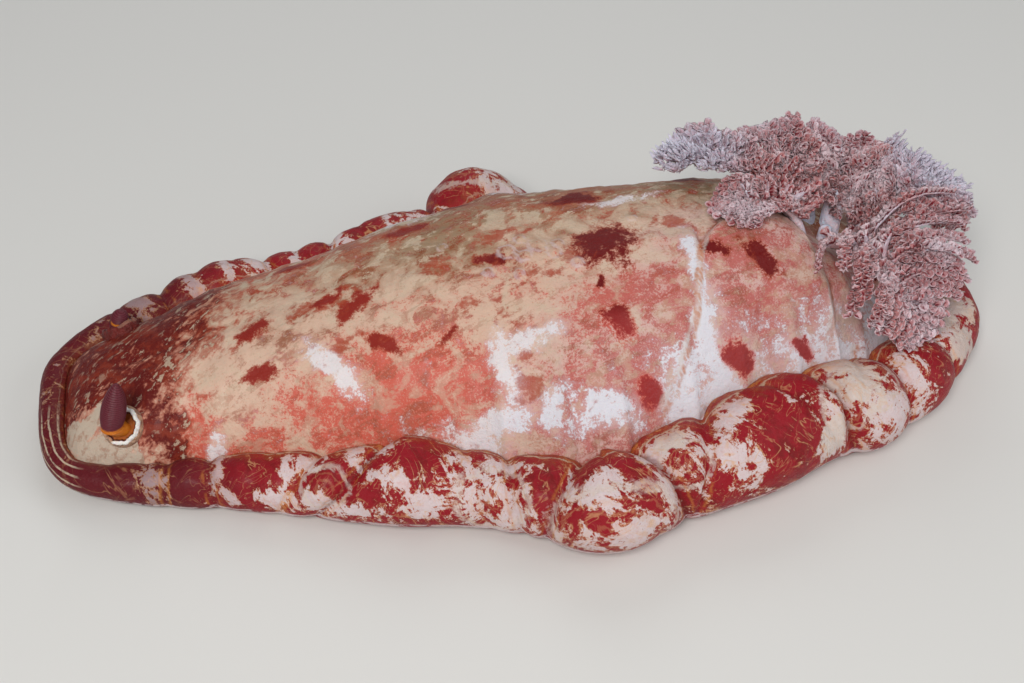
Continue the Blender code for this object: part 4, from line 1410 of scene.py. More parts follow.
@dataclass(frozen=True)
class ClubFinish:
    """Dark maroon club with fine lamellae, turning orange-brown in the stalk."""

    club: tuple = (0.095, 0.011, 0.018)
    ridge: tuple = (0.17, 0.035, 0.055)
    stalk: tuple = (0.50, 0.12, 0.012)
    glow: tuple = (0.66, 0.23, 0.02)

    def make(self) -> bpy.types.Material:
        """Makes the material.

        Returns:
            The material.
        """
        paint = Paint("rhinophore_skin")
        small = paint.grain(900, 4, 0.6)
        club = paint.mix(paint.read("ridge").step(0.4, 1.0) * 0.7, self.club, self.ridge)
        foot = paint.mix((small - 0.5) * 1.5 + 0.5, self.stalk, self.glow)
        colour = paint.mix((paint.read("stalk") + (small - 0.5) * 0.3).step(0.3, 0.7), club, foot)
        plain = {"Specular_IOR_Level": 0.25, "Subsurface_Weight": 0.1, "Subsurface_Scale": 0.002}
        return paint.finish(colour, 0.42, small, 0.0002, **plain)


@dataclass(frozen=True)
class SheathFinish:
    """The raised ring round a rhinophore: cream skin outside, a white crinkled lip with painted light, full
    on the side that the camera sees and faded out round the far side, dark inside.
    """

    skin: tuple = (0.58, 0.36, 0.24)
    white: tuple = (0.90, 0.88, 0.84)
    cap: tuple = (0.16, 0.016, 0.012)
    cap_lip: tuple = (0.286, 0.1192, 0.0804)
    inside: tuple = (0.08, 0.012, 0.010)
    floor: tuple = (0.40, 0.11, 0.020)

    def make(self) -> bpy.types.Material:
        """Makes the material.

        Returns:
            The material.
        """
        paint = Paint("sheath_rim")
        small = paint.swing(600, 4, 0.6)
        lip, inside, pale = paint.read("lip"), paint.read("inside"), paint.read("pale")
        colour = paint.layered(
            self.cap,
            (pale, self.skin),
            ((small + 0.5).step(0.2, 1.0) * 0.5, self.inside),
            # The lip's colour, with painted light: it shows only where the lip's numbers are lit, on the
            # side that the camera sees
            ((lip + small * 0.08).step(0.3, 0.5), paint.mix(pale, self.cap_lip, self.white)),
            (inside.step(0.3, 0.5), self.inside),
            (inside.step(0.6, 0.9) * pale, self.floor),
        )
        plain = {"Specular_IOR_Level": 0.3, "Subsurface_Weight": 0.1, "Subsurface_Scale": 0.002}
        return paint.finish(colour, 0.4, small, 0.0003, **plain)


@dataclass(frozen=True)
class FleshFinish:
    """Plain salmon-pink flesh of the mouth and its tentacles, paler at the tips, with painted shade in the
    mouth's slit.
    """

    flesh: tuple = (0.60, 0.22, 0.16)
    tip: tuple = (0.78, 0.52, 0.44)
    # Painted shade: the dark line in the mouth's slit.
    slit: tuple = (0.16, 0.02, 0.02)

    def make(self) -> bpy.types.Material:
        """Makes the material.

        Returns:
            The material.
        """
        paint = Paint("sole_skin")
        small = paint.grain(500, 5, 0.65)
        colour = paint.layered(
            self.flesh,
            ((paint.read("tip") + (small - 0.5) * 0.5).step(0.3, 0.9), self.tip),
            # Painted shade along the mouth's slit
            (paint.read("slit"), self.slit),
        )
        return paint.finish(colour, 0.4, small, 0.0004, Subsurface_Weight=0.1, Subsurface_Scale=0.002)


# Repeated forms


class Form(Enum):
    """The gills' small closed forms: rounds and rings of the sphere that each starts as."""

    STEM = (10, 18)
    LEAF = (8, 6)


def unit_form(form: Form) -> tuple:
    """A sphere of radius 1 as arrays.

    Args:
        form: which one.

    Returns:
        Its vertices and its faces' corner lists.
    """
    rounds, rings = form.value
    bm = bmesh.new()
    bmesh.ops.create_uvsphere(bm, u_segments=rounds, v_segments=rings, radius=1)
    bmesh.ops.recalc_face_normals(bm, faces=bm.faces)
    bmesh.ops.triangulate(bm, faces=[face for face in bm.faces if len(face.verts) > 4])
    points = np.array([vertex.co[:] for vertex in bm.verts])
    faces = [[vertex.index for vertex in face.verts] for face in bm.faces]
    bm.free()
    return points, faces


FORMS = {form: unit_form(form) for form in Form}


class Cluster:
    """Many small closed forms joined in one mesh, each vertex with the same set of numbers."""

    def __init__(self, numbers: tuple) -> None:
        """Starts an empty cluster.

        Args:
            numbers: the names of its numbers.
        """
        self.numbers = numbers
        self.points, self.faces, self.values, self.patches = [], [], [], []
        self.count = 0

    def add(self, points: np.ndarray, faces: list, values: dict, patch: np.ndarray) -> None:
        """Adds one form.

        Args:
            points: its vertices, in millimetres.
            faces: its corner lists.
            values: its numbers by name, one for all or one per vertex.
            patch: where its vertices lie on the map, in 0 to 1.
        """
        self.points.append(points)
        self.faces += [[corner + self.count for corner in face] for face in faces]
        table = [np.broadcast_to(values.get(name, 0.0), len(points)) for name in self.numbers]
        self.values.append(np.stack(table, -1))
        self.patches.append(patch)
        self.count += len(points)

    def build(self, name: str, finish: bpy.types.Material) -> bpy.types.Object:
        """Joins the forms in one object, with their map.

        Args:
            name: the piece's name.
            finish: its material.

        Returns:
            The object.
        """
        mesh = bpy.data.meshes.new(name)
        mesh.from_pydata(in_metres(np.concatenate(self.points)).tolist(), [], self.faces)
        values = np.concatenate(self.values)
        for k, number in enumerate(self.numbers):
            attribute(mesh, number, values[:, k])
        loops = np.zeros(len(mesh.loops), np.int32)
        mesh.loops.foreach_get("vertex_index", loops)
        layer = mesh.uv_layers.new(name="OFBake")
        patches = np.concatenate(self.patches)[loops]
        layer.data.foreach_set("uv", patches.astype(np.float32).ravel())
        mesh.validate()
        return add_object(name, mesh, finish)


# Gills


def unit(direction: np.ndarray) -> np.ndarray:
    """A direction at length 1."""
    return direction / np.linalg.norm(direction)


@dataclass
class Gill:
    """One gill: a rachis that rises from the pit and arches over, pinnae on both sides, leaflets on all."""

    name: str
    azimuth: float
    spread: float
    reach: float
    rise: float
    tip_z: float
    seed: int
    skin: Skin
    frost: float = 0.0
    broad: float = 20.0
    droop: float = 0.0
    root_ring: float = 8.5
    root_sunk: float = 5.0
    # Side branches a side, short branches over the crown's middle, fingers on each side of the end one.
    pinnae: int = 12
    inner_branches: int = 14
    fingers: int = 3
    finger_turn: float = 24.0
    pinna_turn: float = 56.0
    shortest: float = 6.0
    least_radius: float = 6.0
    leaf_tall: float = 3.4
    leaf_gap: float = 1.3
    # Half width and half thickness of the rachis and of a branch, by the share of their length.
    rachis_wide: tuple = ((0, 0.16, 0.34, 0.6, 1), (3.8, 3.6, 2.8, 1.8, 0.8))
    rachis_thick: tuple = ((0, 0.2, 0.5, 1), (2.5, 2.1, 1.2, 0.5))
    branch_wide: tuple = ((0, 0.3, 0.8, 1), (0.9, 1.2, 0.8, 0.3))
    branch_thick: tuple = ((0, 1), (0.8, 0.3))
    # How far all stays above the skin, and the height within which it is held back.
    clear: float = 0.8
    cushion: float = 1.5

    def __post_init__(self) -> None:
        """Works out the gill's own directions."""
        turn = math.radians(self.azimuth)
        self.half_spread = math.tan(math.radians(self.spread))
        self.out = np.array([math.cos(turn), math.sin(turn), 0.0])
        self.side = np.array([-self.out[1], self.out[0], 0.0])
        self.crown = np.array([*CROWN, 0.0])
        root = self.crown + self.out * self.root_ring
        self.root_z = self.skin.height(root[0], root[1])
        self.draw = np.random.default_rng(self.seed)
        self.cluster = Cluster(GILL_NUMBERS)

    def at(self, radius: float, z: float) -> np.ndarray:
        """The point over the gill's own direction at a distance from the crown's middle."""
        return self.crown + self.out * radius + np.array([0, 0, z])

    def middle(self, u: float) -> np.ndarray:
        """The rachis.

        Args:
            u: how far along it, from its sunk root at 0 to its tip at 1.

        Returns:
            The point there.
        """
        corners = (
            self.at(self.root_ring, self.root_z - self.root_sunk),
            self.at(self.root_ring + 5, self.root_z + self.rise),
            self.at(self.reach * 0.7, self.root_z + self.rise),
            self.at(self.reach, self.tip_z),
        )
        v = 1 - u
        weights = (v**3, 3 * v * v * u, 3 * v * u * u, u**3)
        return sum(corner * weight for corner, weight in zip(corners, weights))

    def frame(self, u: float) -> tuple:
        """The gill's directions along it and out of its upper face."""
        ahead = unit(self.middle(min(u + 0.01, 1)) - self.middle(max(u - 0.01, 0)))
        return ahead, unit(np.cross(ahead, self.side))

    def span(self, u: float, angle: float) -> float:
        """Room for a side branch, up to the gill's side or its round end.

        Args:
            u: where it leaves the rachis.
            angle: its angle from it.

        Returns:
            Its greatest length.
        """
        radius = np.linalg.norm((self.middle(u) - self.crown)[:2])
        opening = math.sin(angle) - self.half_spread * math.cos(angle)
        side = radius * self.half_spread / opening if opening > 0.1 else self.broad
        ahead = radius * math.cos(angle)
        end = math.sqrt(max(ahead**2 - radius**2 + (1.04 * self.reach) ** 2, 0)) - ahead
        return max(min(side, end, self.broad), self.shortest)

    def chill(self, point: np.ndarray) -> float:
        """How far a place has the bluish fingers of the gill's end, fewer on its left.

        Args:
            point: the place.

        Returns:
            The share.
        """
        offset = point - self.crown
        outer = smooth(0.5, 0.9, np.linalg.norm(offset[:2]) / self.reach)
        return self.frost * float(outer * smooth(-16, 0, offset @ self.side))

    def held(self, points: np.ndarray) -> np.ndarray:
        """Keeps points inside the gill's share of the crown and above the skin.

        Args:
            points: the points.

        Returns:
            The points, moved where they have to be.
        """
        offset = points - self.crown
        radius, across = offset @ self.out, offset @ self.side
        room = np.maximum(radius, self.least_radius) * self.half_spread + 2.0
        eased_across = across / (1 + (np.abs(across) / room) ** 4) ** 0.25
        points = points + self.side * (eased_across - across)[:, None]
        for k in np.nonzero(radius > self.root_ring + 3)[0]:
            floor = self.skin.height(points[k, 0], points[k, 1]) + self.clear
            over = points[k, 2] - floor - self.cushion
            if over < 0:
                points[k, 2] = floor + self.cushion * math.exp(over / 3)
        return points

    def patch(self, roots: np.ndarray, spread: np.ndarray) -> np.ndarray:
        """Places on the map.

        Args:
            roots: points whose places in the gill's own plan are taken.
            spread: how the form is spread about them.

        Returns:
            The places, in 0 to 1.
        """
        offset = roots - self.crown
        u = offset @ self.out / (self.reach + 12)
        v = 0.5 + offset @ self.side / (4 * max(self.reach * self.half_spread, 12))
        return np.clip(np.stack([u, v], -1) + spread, 0.001, 0.999)

    def stem(self, line: np.ndarray, wide: tuple, thick: tuple, face: np.ndarray, values: dict) -> None:
        """A flattened tapering stem along a line.

        Args:
            line: points along it.
            wide, thick: shares of its length with its half width and its half thickness there.
            face: its upper side.
            values: its numbers.
        """
        points, faces = FORMS[Form.STEM]
        share = (points[:, 2] + 1) / 2
        places = np.linspace(0, 1, len(line))
        centre = np.stack([np.interp(share, places, line[:, k]) for k in range(3)], -1)
        ahead = line[-1] - line[0]
        across = unit(np.cross(ahead, face))
        up = unit(np.cross(across, ahead))
        lateral = np.maximum(np.hypot(points[:, 0], points[:, 1]), TINY)
        full = np.minimum(lateral * 2.2, 1) / lateral
        half = np.interp(share, places, wide) * full * points[:, 0]
        rise = np.interp(share, places, thick) * full * points[:, 1]
        moved = centre + across * half[:, None] + up * rise[:, None]
        patch = self.patch(centre, np.stack([points[:, 0], share], -1) * 0.01)
        self.cluster.add(self.held(moved), faces, values, patch)

    def leaf(
        self, root: np.ndarray, out: np.ndarray, opening: np.ndarray, tall: float, wide: float
    ) -> None:
        """A small leaf folded along its middle like a trough, ruffled along its edge.

        Args:
            root: where it stands.
            out: the way that it grows.
            opening: the way that its hollow looks.
            tall, wide: its length and its half width.
        """
        points, faces = FORMS[Form.LEAF]
        out = unit(out)
        across = unit(np.cross(out, opening))
        opening = np.cross(across, out)
        height = (points[:, 2] + 1) / 2
        side = np.abs(points[:, 0])
        cold = self.chill(root)
        half = points[:, 0] * (0.6 + 0.55 * height + cold * (0.35 - 1.25 * height)) * wide
        ruffle = 0.3 * np.sin(height * 8 + self.draw.uniform(0, 6) + points[:, 0] * 1.5) * side
        trough = (self.draw.uniform(0.55, 0.95) * side**1.3 + ruffle) * wide
        curl = tall * self.draw.uniform(0.05, 0.35) * height**2
        rise = points[:, 1] * 0.16 + trough + curl
        moved = root + out * (height * tall)[:, None] + across * half[:, None] + opening * rise[:, None]
        fold_line = np.clip(1 - side * 1.4, 0, 1) * np.clip(1.6 - 1.2 * height, 0, 1)
        values = {
            "leaf": 1.0,
            "rim": np.clip(np.maximum(side**2, height**4), 0, 1),
            "fold": fold_line * (1 - 0.5 * cold),
            "frost": np.clip(cold * (0.35 + 0.9 * height), 0, 1),
        }
        patch = self.patch(np.repeat(root[None], len(points), 0), points[:, [0, 2]] * 0.0015)
        self.cluster.add(self.held(moved), faces, values, patch)

    def feather(self, line: np.ndarray, face: np.ndarray, tall: float, gap: float) -> None:
        """Leaves along a branch: a flat herringbone on both its sides and an upright row on top.

        Args:
            line: the branch's points.
            face: its upper side.
            tall: the leaves' length.
            gap: the distance from one to the next.
        """
        steps = np.linalg.norm(np.diff(line, axis=0), axis=1)
        length = np.append(0, np.cumsum(steps))
        count = max(int(length[-1] / gap), 2)
        narrow = 0.50 - 0.26 * self.chill(line[len(line) // 2])
        for k in range(count):
            for row in (-1, 0, 1):
                at = (k + 0.2 + self.draw.uniform(-0.2, 0.2) + 0.33 * (row + 1)) * length[-1] / count
                at = min(at, length[-1])
                root = np.array([np.interp(at, length, line[:, axis]) for axis in range(3)])
                share = at / length[-1]
                ahead = unit(line[min(int(share * (len(line) - 1)) + 1, len(line) - 1)] - line[0])
                across = np.cross(ahead, face)
                size = tall * (1 - 0.3 * share) * self.draw.uniform(0.8, 1.25)
                jitter = self.draw.uniform(-0.35, 0.35, 3)
                if row:
                    out = across * row * 0.9 + ahead * self.draw.uniform(0.35, 0.9)
                    out = out + face * self.draw.uniform(0.0, 0.55)
                    self.leaf(root + across * row * 0.4, out, face + jitter, size, size * narrow)
                else:
                    out = face * 0.9 + ahead * self.draw.uniform(0.1, 0.8) + jitter
                    self.leaf(root, out, -ahead + jitter * 2, size * 0.8, size * narrow)

    def branch(
        self, root: np.ndarray, out: np.ndarray, face: np.ndarray, length: float, arch: float
    ) -> None:
        """A branch that arches over, with its leaves.

        Args:
            root: where it leaves the rachis.
            out: the way that it grows.
            face: its upper side.
            length: how long it is.
            arch: how far it bends up, as a share of its length.
        """
        face = unit(face)
        shares = np.linspace(0, 1, 9)
        bend = face * length * arch
        line = np.array([root + out * length * s + bend * math.sin(math.pi * s * 0.8) for s in shares])
        line[:, 2] -= self.droop * (np.minimum((line - self.crown) @ self.side, 0) / 20) ** 2
        line = self.held(line)
        cold = self.chill(line[4])
        wide, thick = np.interp(shares, *self.branch_wide), np.interp(shares, *self.branch_thick)
        self.stem(line, wide, thick, face, {"leaf": 0.6, "frost": cold})
        self.feather(line[1:], face, self.leaf_tall + 2.8 * cold, self.leaf_gap + 0.3 * cold)

    def pinna(self, u: float, side: int) -> None:
        """A side branch with its leaves.

        Args:
            u: where it leaves the rachis.
            side: to which side.
        """
        ahead, face = self.frame(u)
        angle = math.radians(self.pinna_turn + self.draw.uniform(-9, 9))
        out = ahead * math.cos(angle) + self.side * side * math.sin(angle)
        length = self.span(u, angle) * self.draw.uniform(0.92, 1.1)
        root = self.middle(u)
        self.branch(root, out, face, length, self.draw.uniform(0.12, 0.28) + 0.25 * self.chill(root))

    def tip(self, turn: float) -> None:
        """One finger of the fan at the gill's end.

        Args:
            turn: its angle from the rachis in degrees.
        """
        ahead, face = self.frame(0.94)
        out = ahead * math.cos(math.radians(turn)) + self.side * math.sin(math.radians(turn))
        length = self.draw.uniform(8, 10.5) + 3.5 * self.frost
        self.branch(self.middle(0.9), out, face, length, 0.15 + 0.35 * self.frost)

    def inner(self, u: float, lean: float) -> None:
        """A short branch that leans back over the crown's middle.

        Args:
            u: where it leaves the rachis.
            lean: how far it leans to the side.
        """
        face = self.frame(u)[1]
        out = face * 0.9 - self.out * self.draw.uniform(-0.3, 0.5) * (1.3 - u) + self.side * lean
        length = self.draw.uniform(7, 11)
        self.branch(self.middle(u), unit(out), -self.out + face * 0.4, length, 0.1)

    def build(self, finish: bpy.types.Material) -> bpy.types.Object:
        """Makes the gill in one piece.

        Args:
            finish: its material.

        Returns:
            The object.
        """
        places = np.linspace(0, 0.97, 20)
        line = self.held(np.array([self.middle(u) for u in places]))
        wide, thick = np.interp(places, *self.rachis_wide), np.interp(places, *self.rachis_thick)
        self.stem(line, wide, thick, self.frame(0.4)[1], {"frost": self.frost})
        for side in (-1, 1):
            for k in range(self.pinnae):
                u = 0.22 + 0.75 * (k + 0.25 + 0.25 * side) / self.pinnae
                self.pinna(min(u, 0.96), side)
        for k in range(self.inner_branches):
            self.inner(0.22 + 0.047 * k, (k % 3 - 1) * 0.7 + self.draw.uniform(-0.3, 0.3))
        for k in range(-self.fingers, self.fingers + 1):
            self.tip(k * self.finger_turn + self.draw.uniform(-5, 5))
        self.feather(line[5:], self.frame(0.6)[1], 3.8, 1.9)
        return self.cluster.build(self.name, finish)


@dataclass
class Crown:
    """All the gills, and the papilla in their middle."""

    skin: Skin
    # Direction from the middle, half spread, reach, rise, tip's height, seed, frost, breadth and droop.
    rows: tuple = (
        (146, 18, 47, 19, 57, 11, 1, 24, 0), (107, 22, 37, 21.5, 56, 9, 0.3, 24, 0),
        (58, 28, 40, 20, 46, 11, 0.3, 26, 5), (9, 34, 43, 18, 44, 6, 1, 30, 8),
        (-66, 58, 43, 14, 27, 5, 0.15, 38, 2), (187, 22, 35, 17, 56, 6, 0.1, 24, 0),
    )
    # The papilla's section: height over the skin and radius.
    papilla: tuple = ((-3.0, 2.6), (3.0, 2.4), (5.5, 2.1), (6.6, 1.6), (7.0, 0.9))

    def build(self, finish: bpy.types.Material) -> list:
        """Makes the gills and the papilla.

        Args:
            finish: their material.

        Returns:
            The objects, each with the node that it stands for.
        """
        made = []
        for number, row in enumerate(self.rows, 1):
            frost, broad, droop = row[6:]
            gill = Gill(f"plume_{number}", *row[:6], self.skin, frost, broad, droop)
            made.append((gill.build(finish), f"gill_{number}"))
        made.append((shaped("vent", 24, 24, self.vent_point, finish), "anal_papilla"))
        return made

    def vent_point(self, x: float, y: float, z: float) -> tuple:
        """The papilla's rule: a low column with a puckered top.

        Args:
            x, y, z: a vertex of the sphere.

        Returns:
            Its point and its numbers.
        """
        heights, radii = np.array(self.papilla).T
        share, turn = (z + 1) / 2, math.atan2(y, x)
        height = heights[0] + (heights[-1] - heights[0]) * share
        close = min(math.hypot(x, y) * 2, 1)
        radius = np.interp(height, heights, radii) * close * (1 + 0.06 * math.cos(7 * turn) * share)
        place = (CROWN[0] + radius * math.cos(turn), CROWN[1] + radius * math.sin(turn))
        return (*place, self.skin.height(*CROWN) + height), dict.fromkeys(GILL_NUMBERS, 0.0)


# Rhinophores


@dataclass
class Rhinophore:
    """A stalk and a club with oblique lamellae, in its raised sheath."""

    side: Side
    skin: Skin
    lamellae: int
    radius: float
    # The club's foot and tip from the place on the skin: along the body, outwards and up.
    foot: tuple
    tip: tuple
    # How far the stalk shines orange.
    glow: float = 1.0
    place_x: float = -123.5
    offset: float = 22.0
    root_sunk: float = 3.0
    stalk_share: float = 0.3
    stalk_radius: float = 4.3
    stalk_taper: float = 0.9
    sheath_steps: int = 96
    # The sheath's section: distance from its axis, height over the skin, and how far it is lip and inside.
    section: tuple = (
        (6.6, -2.0, 0, 0), (6.4, 0.0, 0, 0), (6.1, 1.4, 0.1, 0), (5.75, 2.2, 0.8, 0),
        (5.35, 2.75, 1, 0), (4.95, 2.7, 0.9, 0.1), (4.7, 2.2, 0, 0.4), (4.5, 1.7, 0, 0.6),
        (3.9, 1.3, 0, 1), (2.6, 1.2, 0, 1), (1.2, 1.2, 0, 1),
    )
    # The crinkles round its lip: size, waves round it and start.
    crinkles: tuple = ((0.14, 9, 0), (0.1, 17, 1), (0.06, 31, 0))

    def __post_init__(self) -> None:
        """Finds the place on the skin and the club's own points."""
        y = self.skin.body.axis_y + self.side.value * self.offset
        self.normal = np.array(self.skin.from_above(self.place_x, y)[1])
        self.place = np.array([self.place_x, y, self.skin.height(self.place_x, y)])
        self.club_root = self.place - self.normal * self.root_sunk
        self.club_foot, self.club_tip = (
            self.place + np.array([along, self.side.value * outwards, up])
            for along, outwards, up in (self.foot, self.tip)
        )

    def club_point(self, x: float, y: float, z: float) -> tuple:
        """The club's rule: a tapering stalk, then a pointed club with combs round it.

        Args:
            x, y, z: a vertex of the sphere.

        Returns:
            Its point and its numbers.
        """
        share, turn = (z + 1) / 2, math.atan2(y, x)
        if share < self.stalk_share:
            s = share / self.stalk_share
            middle = self.club_root + (self.club_foot - self.club_root) * s
            radius = (self.stalk_radius - self.stalk_taper * s) * min(math.hypot(x, y) * 2.6, 1)
            ridge, stalk = 0.0, self.glow
        else:
            s = (share - self.stalk_share) / (1 - self.stalk_share)
            middle = self.club_foot + (self.club_tip - self.club_foot) * s
            swell = math.sin(math.pi * (0.24 + 0.74 * s)) ** 0.62
            ridge = 0.5 + 0.5 * math.cos(2 * math.pi * (s * self.lamellae + 0.9 * math.cos(turn)))
            radius = self.radius * swell * (0.93 + 0.08 * ridge)
            stalk = 1 - min(s * 7, 1)
        point = middle + np.array([math.cos(turn), math.sin(turn), 0]) * radius
        return point, {"ridge": ridge, "stalk": stalk}

    def club(self, name: str, finish: bpy.types.Material) -> bpy.types.Object:
        """Makes the stalk and the club as one body."""
        return shaped(name, 36, 60 + self.lamellae * 8, self.club_point, finish)

    def sheath(self, name: str, finish: bpy.types.Material) -> bpy.types.Object:
        """Makes the raised ring with its crinkled lip.

        Args:
            name: the piece's name.
            finish: its material.

        Returns:
            The object.
        """
        across = unit(np.cross(self.normal, (1.0, 0, 0)))
        along = np.cross(across, self.normal)
        mesh, columns, shares = grid(name, len(self.section), self.sheath_steps)
        radii, heights, lip, inside = np.array(self.section, float)[columns].T
        points, lit_share = [], []
        for radius, height, share in zip(radii, heights, shares):
            turn = 2 * math.pi * share
            # Painted light: the lip is painted at full strength on the side that the camera sees, and fades
            # out round the far side.
            toward = math.sin(turn) * 0.956 + math.cos(turn) * 0.29 * self.side.value
            lit_share.append(0.25 + 0.75 * min(max(toward * 2.5 + 0.9, 0), 1))
            if height > 1:
                radius += sum(size * math.sin(count * turn + start) for size, count, start in self.crinkles)
                height += 0.25 * math.sin(5 * turn + 2)
            out = across * math.cos(turn) + along * math.sin(turn)
            points.append(self.place + out * radius + self.normal * height)
        move(mesh, np.array(points))
        attribute(mesh, "lip", lip * np.array(lit_share))
        attribute(mesh, "inside", inside)
        attribute(mesh, "pale", np.full(len(columns), float(self.side is Side.LEFT)))
        weld(mesh, fill=True)
        return add_object(name, mesh, finish)


# Mouth


@dataclass
class Mouth:
    """The lips and the two oral tentacles, under the front of the mantle."""

    axis_y: float = 9.0
    # The lips' middle along the body and its height, and their half sizes along, across and up.
    lips_x: float = -138.0
    lips_z: float = 3.4
    lips_half: tuple = (2.8, 7.3, 2.5)
    # A tentacle: place along the body, place outwards, half width and half thickness.
    tentacle: tuple = (
        (-126.5, 15.3, 4, 1.1), (-127.4, 18, 4.2, 1.1), (-131.5, 20.4, 4.5, 1), (-137, 19.8, 4.3, 0.9),
        (-141.6, 15.8, 3.2, 0.8), (-144.2, 10.9, 1.4, 0.6),
    )
    tentacle_z: float = 1.6

    def lips_point(self, x: float, y: float, z: float) -> tuple:
        """The lips' rule: pursed round the mouth's slit, with the sphere's pole ahead.

        Args:
            x, y, z: a vertex of the sphere.

        Returns:
            Its point and its numbers.
        """
        ahead = max(z, 0)
        dent = 1.6 * math.exp(-((y / 0.16) ** 2)) * ahead * (abs(x) < 0.75)
        pucker = 1 + 0.04 * math.cos(16 * math.atan2(y, x)) * ahead
        long, wide, high = self.lips_half
        point = (
            self.lips_x - long * max(z, -0.3) + dent,
            self.axis_y + wide * x * pucker,
            self.lips_z + high * y * pucker,
        )
        # Painted shade: a dark line along the slit between the lips.
        slit = math.exp(-((y / 0.12) ** 2)) * (z > 0.3) * (math.hypot(x, y) < 0.7)
        return point, {"slit": slit, "tip": 0.0}

    def feeler_point(self, side: Side, x: float, y: float, z: float) -> tuple:
        """An oral tentacle's rule: a flat curved lobe with a fringed outer edge.

        Args:
            side: the tentacle's side.
            x, y, z: a vertex of the sphere.

        Returns:
            Its point and its numbers.
        """
        rows = np.array(self.tentacle)
        places = np.linspace(0, 1, len(rows))
        share = (z + 1) / 2
        along, outwards, half, thick = (np.interp(share, places, rows[:, k]) for k in range(4))
        step = [np.interp(min(share + 0.05, 1), places, rows[:, k]) for k in (0, 1)]
        back = [np.interp(max(share - 0.05, 0), places, rows[:, k]) for k in (0, 1)]
        ahead = np.array([step[0] - back[0], side.value * (step[1] - back[1])])
        ahead /= max(np.linalg.norm(ahead), TINY)
        across = np.array([ahead[1], -ahead[0]]) * side.value
        lateral = max(math.hypot(x, y), TINY)
        close = min(math.hypot(x, y) * 2.2, 1)
        outer = max(x / lateral, 0)
        reach = half * close * (x / lateral) * (1 + 0.16 * math.cos(share * 60) * outer)
        place = (along - across[0] * reach, self.axis_y + side.value * outwards - across[1] * reach)
        height = self.tentacle_z + thick * close * y / lateral
        return (*place, height), {"tip": outer * close * 0.7 + 0.3 * share, "slit": 0.0}

    def lips(self, finish: bpy.types.Material) -> bpy.types.Object:
        """Makes the lips."""
        return shaped("lips", 48, 40, self.lips_point, finish)

    def feeler(self, name: str, side: Side, finish: bpy.types.Material) -> bpy.types.Object:
        """Makes an oral tentacle."""
        return shaped(name, 32, 64, partial(self.feeler_point, side), finish)


# Studio


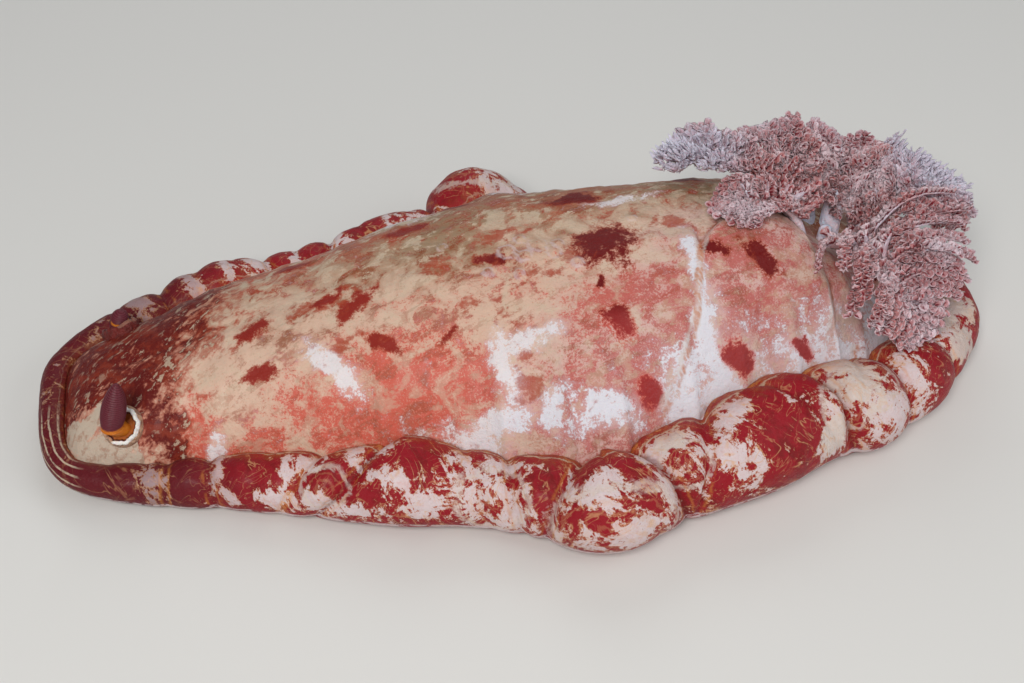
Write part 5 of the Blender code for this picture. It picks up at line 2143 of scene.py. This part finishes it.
@dataclass
class Studio:
    """A pale floor, soft lights and the camera at the photograph's angle."""

    azimuth: float = -12.0
    elevation: float = 42.0
    distance: float = 0.46
    lens: float = 50.0
    film: float = 36.0
    target: tuple = (-0.00557, -0.00588, 0.020)
    floor_half: float = 3.0
    # Just under the animal, so that the two don't share a plane.
    floor_z: float = -0.0002
    floor_colour: tuple = (0.72, 0.72, 0.70)
    sky: tuple = (0.85, 0.88, 0.92, 1)
    sky_strength: float = 0.20
    # Lights: name, place, size, power and colour.
    lights: tuple = (
        ("key", (-0.40, -0.80, 0.95), 0.45, 11.5, (1.0, 0.97, 0.94)),
        ("fill", (0.85, -0.45, 0.55), 0.8, 3.2, (1, 1, 1)),
        ("back", (0.1, 0.9, 0.9), 0.8, 3.0, (1, 1, 1)),
    )

    def floor(self) -> None:
        """The plain pale floor."""
        bm = bmesh.new()
        bmesh.ops.create_grid(bm, x_segments=1, y_segments=1, size=self.floor_half)
        obj = add_object("floor", mesh_from("floor", bm), Paint("floor").finish(self.floor_colour, 0.7))
        obj.location.z = self.floor_z

    def light(self, name: str, place: tuple, size: float, power: float, colour: tuple) -> None:
        """An area light aimed at the body.

        Args:
            name: its name.
            place: where it stands.
            size: its side.
            power: its power in watts.
            colour: its colour.
        """
        data = bpy.data.lights.new(name, "AREA")
        data.energy, data.size, data.color = power, size, colour
        obj = bpy.data.objects.new(name, data)
        obj.location = place
        obj.rotation_euler = (Vector(self.target) - Vector(place)).to_track_quat("-Z", "Y").to_euler()
        bpy.context.scene.collection.objects.link(obj)

    def camera(self) -> None:
        """The camera at the photograph's angle."""
        data = bpy.data.cameras.new("camera")
        data.lens, data.sensor_width, data.sensor_fit = self.lens, self.film, "HORIZONTAL"
        obj = bpy.data.objects.new("camera", data)
        turn, tilt = math.radians(self.azimuth), math.radians(self.elevation)
        back = Vector((math.sin(turn) * math.cos(tilt), -math.cos(turn) * math.cos(tilt), math.sin(tilt)))
        obj.location = Vector(self.target) + back * self.distance
        obj.rotation_euler = (-back).to_track_quat("-Z", "Y").to_euler()
        bpy.context.scene.collection.objects.link(obj)
        bpy.context.scene.camera = obj

    def build(self) -> None:
        """Sets up the floor, the lights, the world and the camera."""
        bpy.context.scene.view_settings.view_transform = "Standard"
        self.floor()
        for row in self.lights:
            self.light(*row)
        world = bpy.data.worlds.new("studio")
        world.use_nodes = True
        sky = world.node_tree.nodes["Background"].inputs
        sky["Color"].default_value = self.sky
        sky["Strength"].default_value = self.sky_strength
        bpy.context.scene.world = world
        self.camera()


# Putting it together

FLESH_NODES = (
    *("head_mantle", "back_front", "back_middle", "back_rear", "foot", "tail", "head"),
    *("margin_head_left", "margin_left_front", "margin_left_middle", "margin_left_rear"),
    *("margin_head_right", "margin_right_front", "margin_right_middle", "margin_right_rear"),
    *("margin_left_tail", "margin_tail_left", "margin_right_tail", "margin_tail_right"),
)


def settle(obj: bpy.types.Object, slot: str, *nodes: str) -> None:
    """Ties a piece to the body and to the nodes that it stands for, and reports it.

    Args:
        obj: the piece.
        slot: the record's slot; not used.
        nodes: the nodes that it replaces.
    """
    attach(obj, BODY)
    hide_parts(*nodes)
    triangles = sum(len(face.vertices) - 2 for face in obj.data.polygons)
    log.info("%s: %d triangles", obj.name, triangles)


def main() -> None:
    """Builds the whole animal and its studio."""
    logging.basicConfig(level=logging.INFO, format="%(name)s %(message)s")
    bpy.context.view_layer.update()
    Studio().build()
    skin = Skin(Body())
    settle(skin.build(SkinFinish().make()), "mottled_skin", *FLESH_NODES)
    flesh = FleshFinish().make()
    mouth = Mouth()
    settle(mouth.lips(flesh), "sole_skin", "mouth")
    for side in Side:
        word = side.name.lower()
        settle(mouth.feeler(f"feeler_{word}", side, flesh), "sole_skin", f"oral_tentacle_{word}")
    club, ring = ClubFinish().make(), SheathFinish().make()
    left = Rhinophore(Side.LEFT, skin, 24, 3.9, (-2.6, 3.0, 3.2), (1.2, 1.4, 18.5))
    right = Rhinophore(Side.RIGHT, skin, 8, 2.8, (0.0, 2.0, 3.0), (0.4, 3.4, 6.4), glow=0.1)
    for rhinophore in (left, right):
        word = rhinophore.side.name.lower()
        settle(rhinophore.club(f"club_{word}", club), "rhinophore_skin", f"rhinophore_{word}")
        settle(rhinophore.sheath(f"sheath_{word}", ring), "sheath_rim", f"rhinophore_sheath_{word}")
    for piece, node in Crown(skin).build(GillFinish().make()):
        settle(piece, "gill_skin", node)


if __name__ == "__main__":
    main()
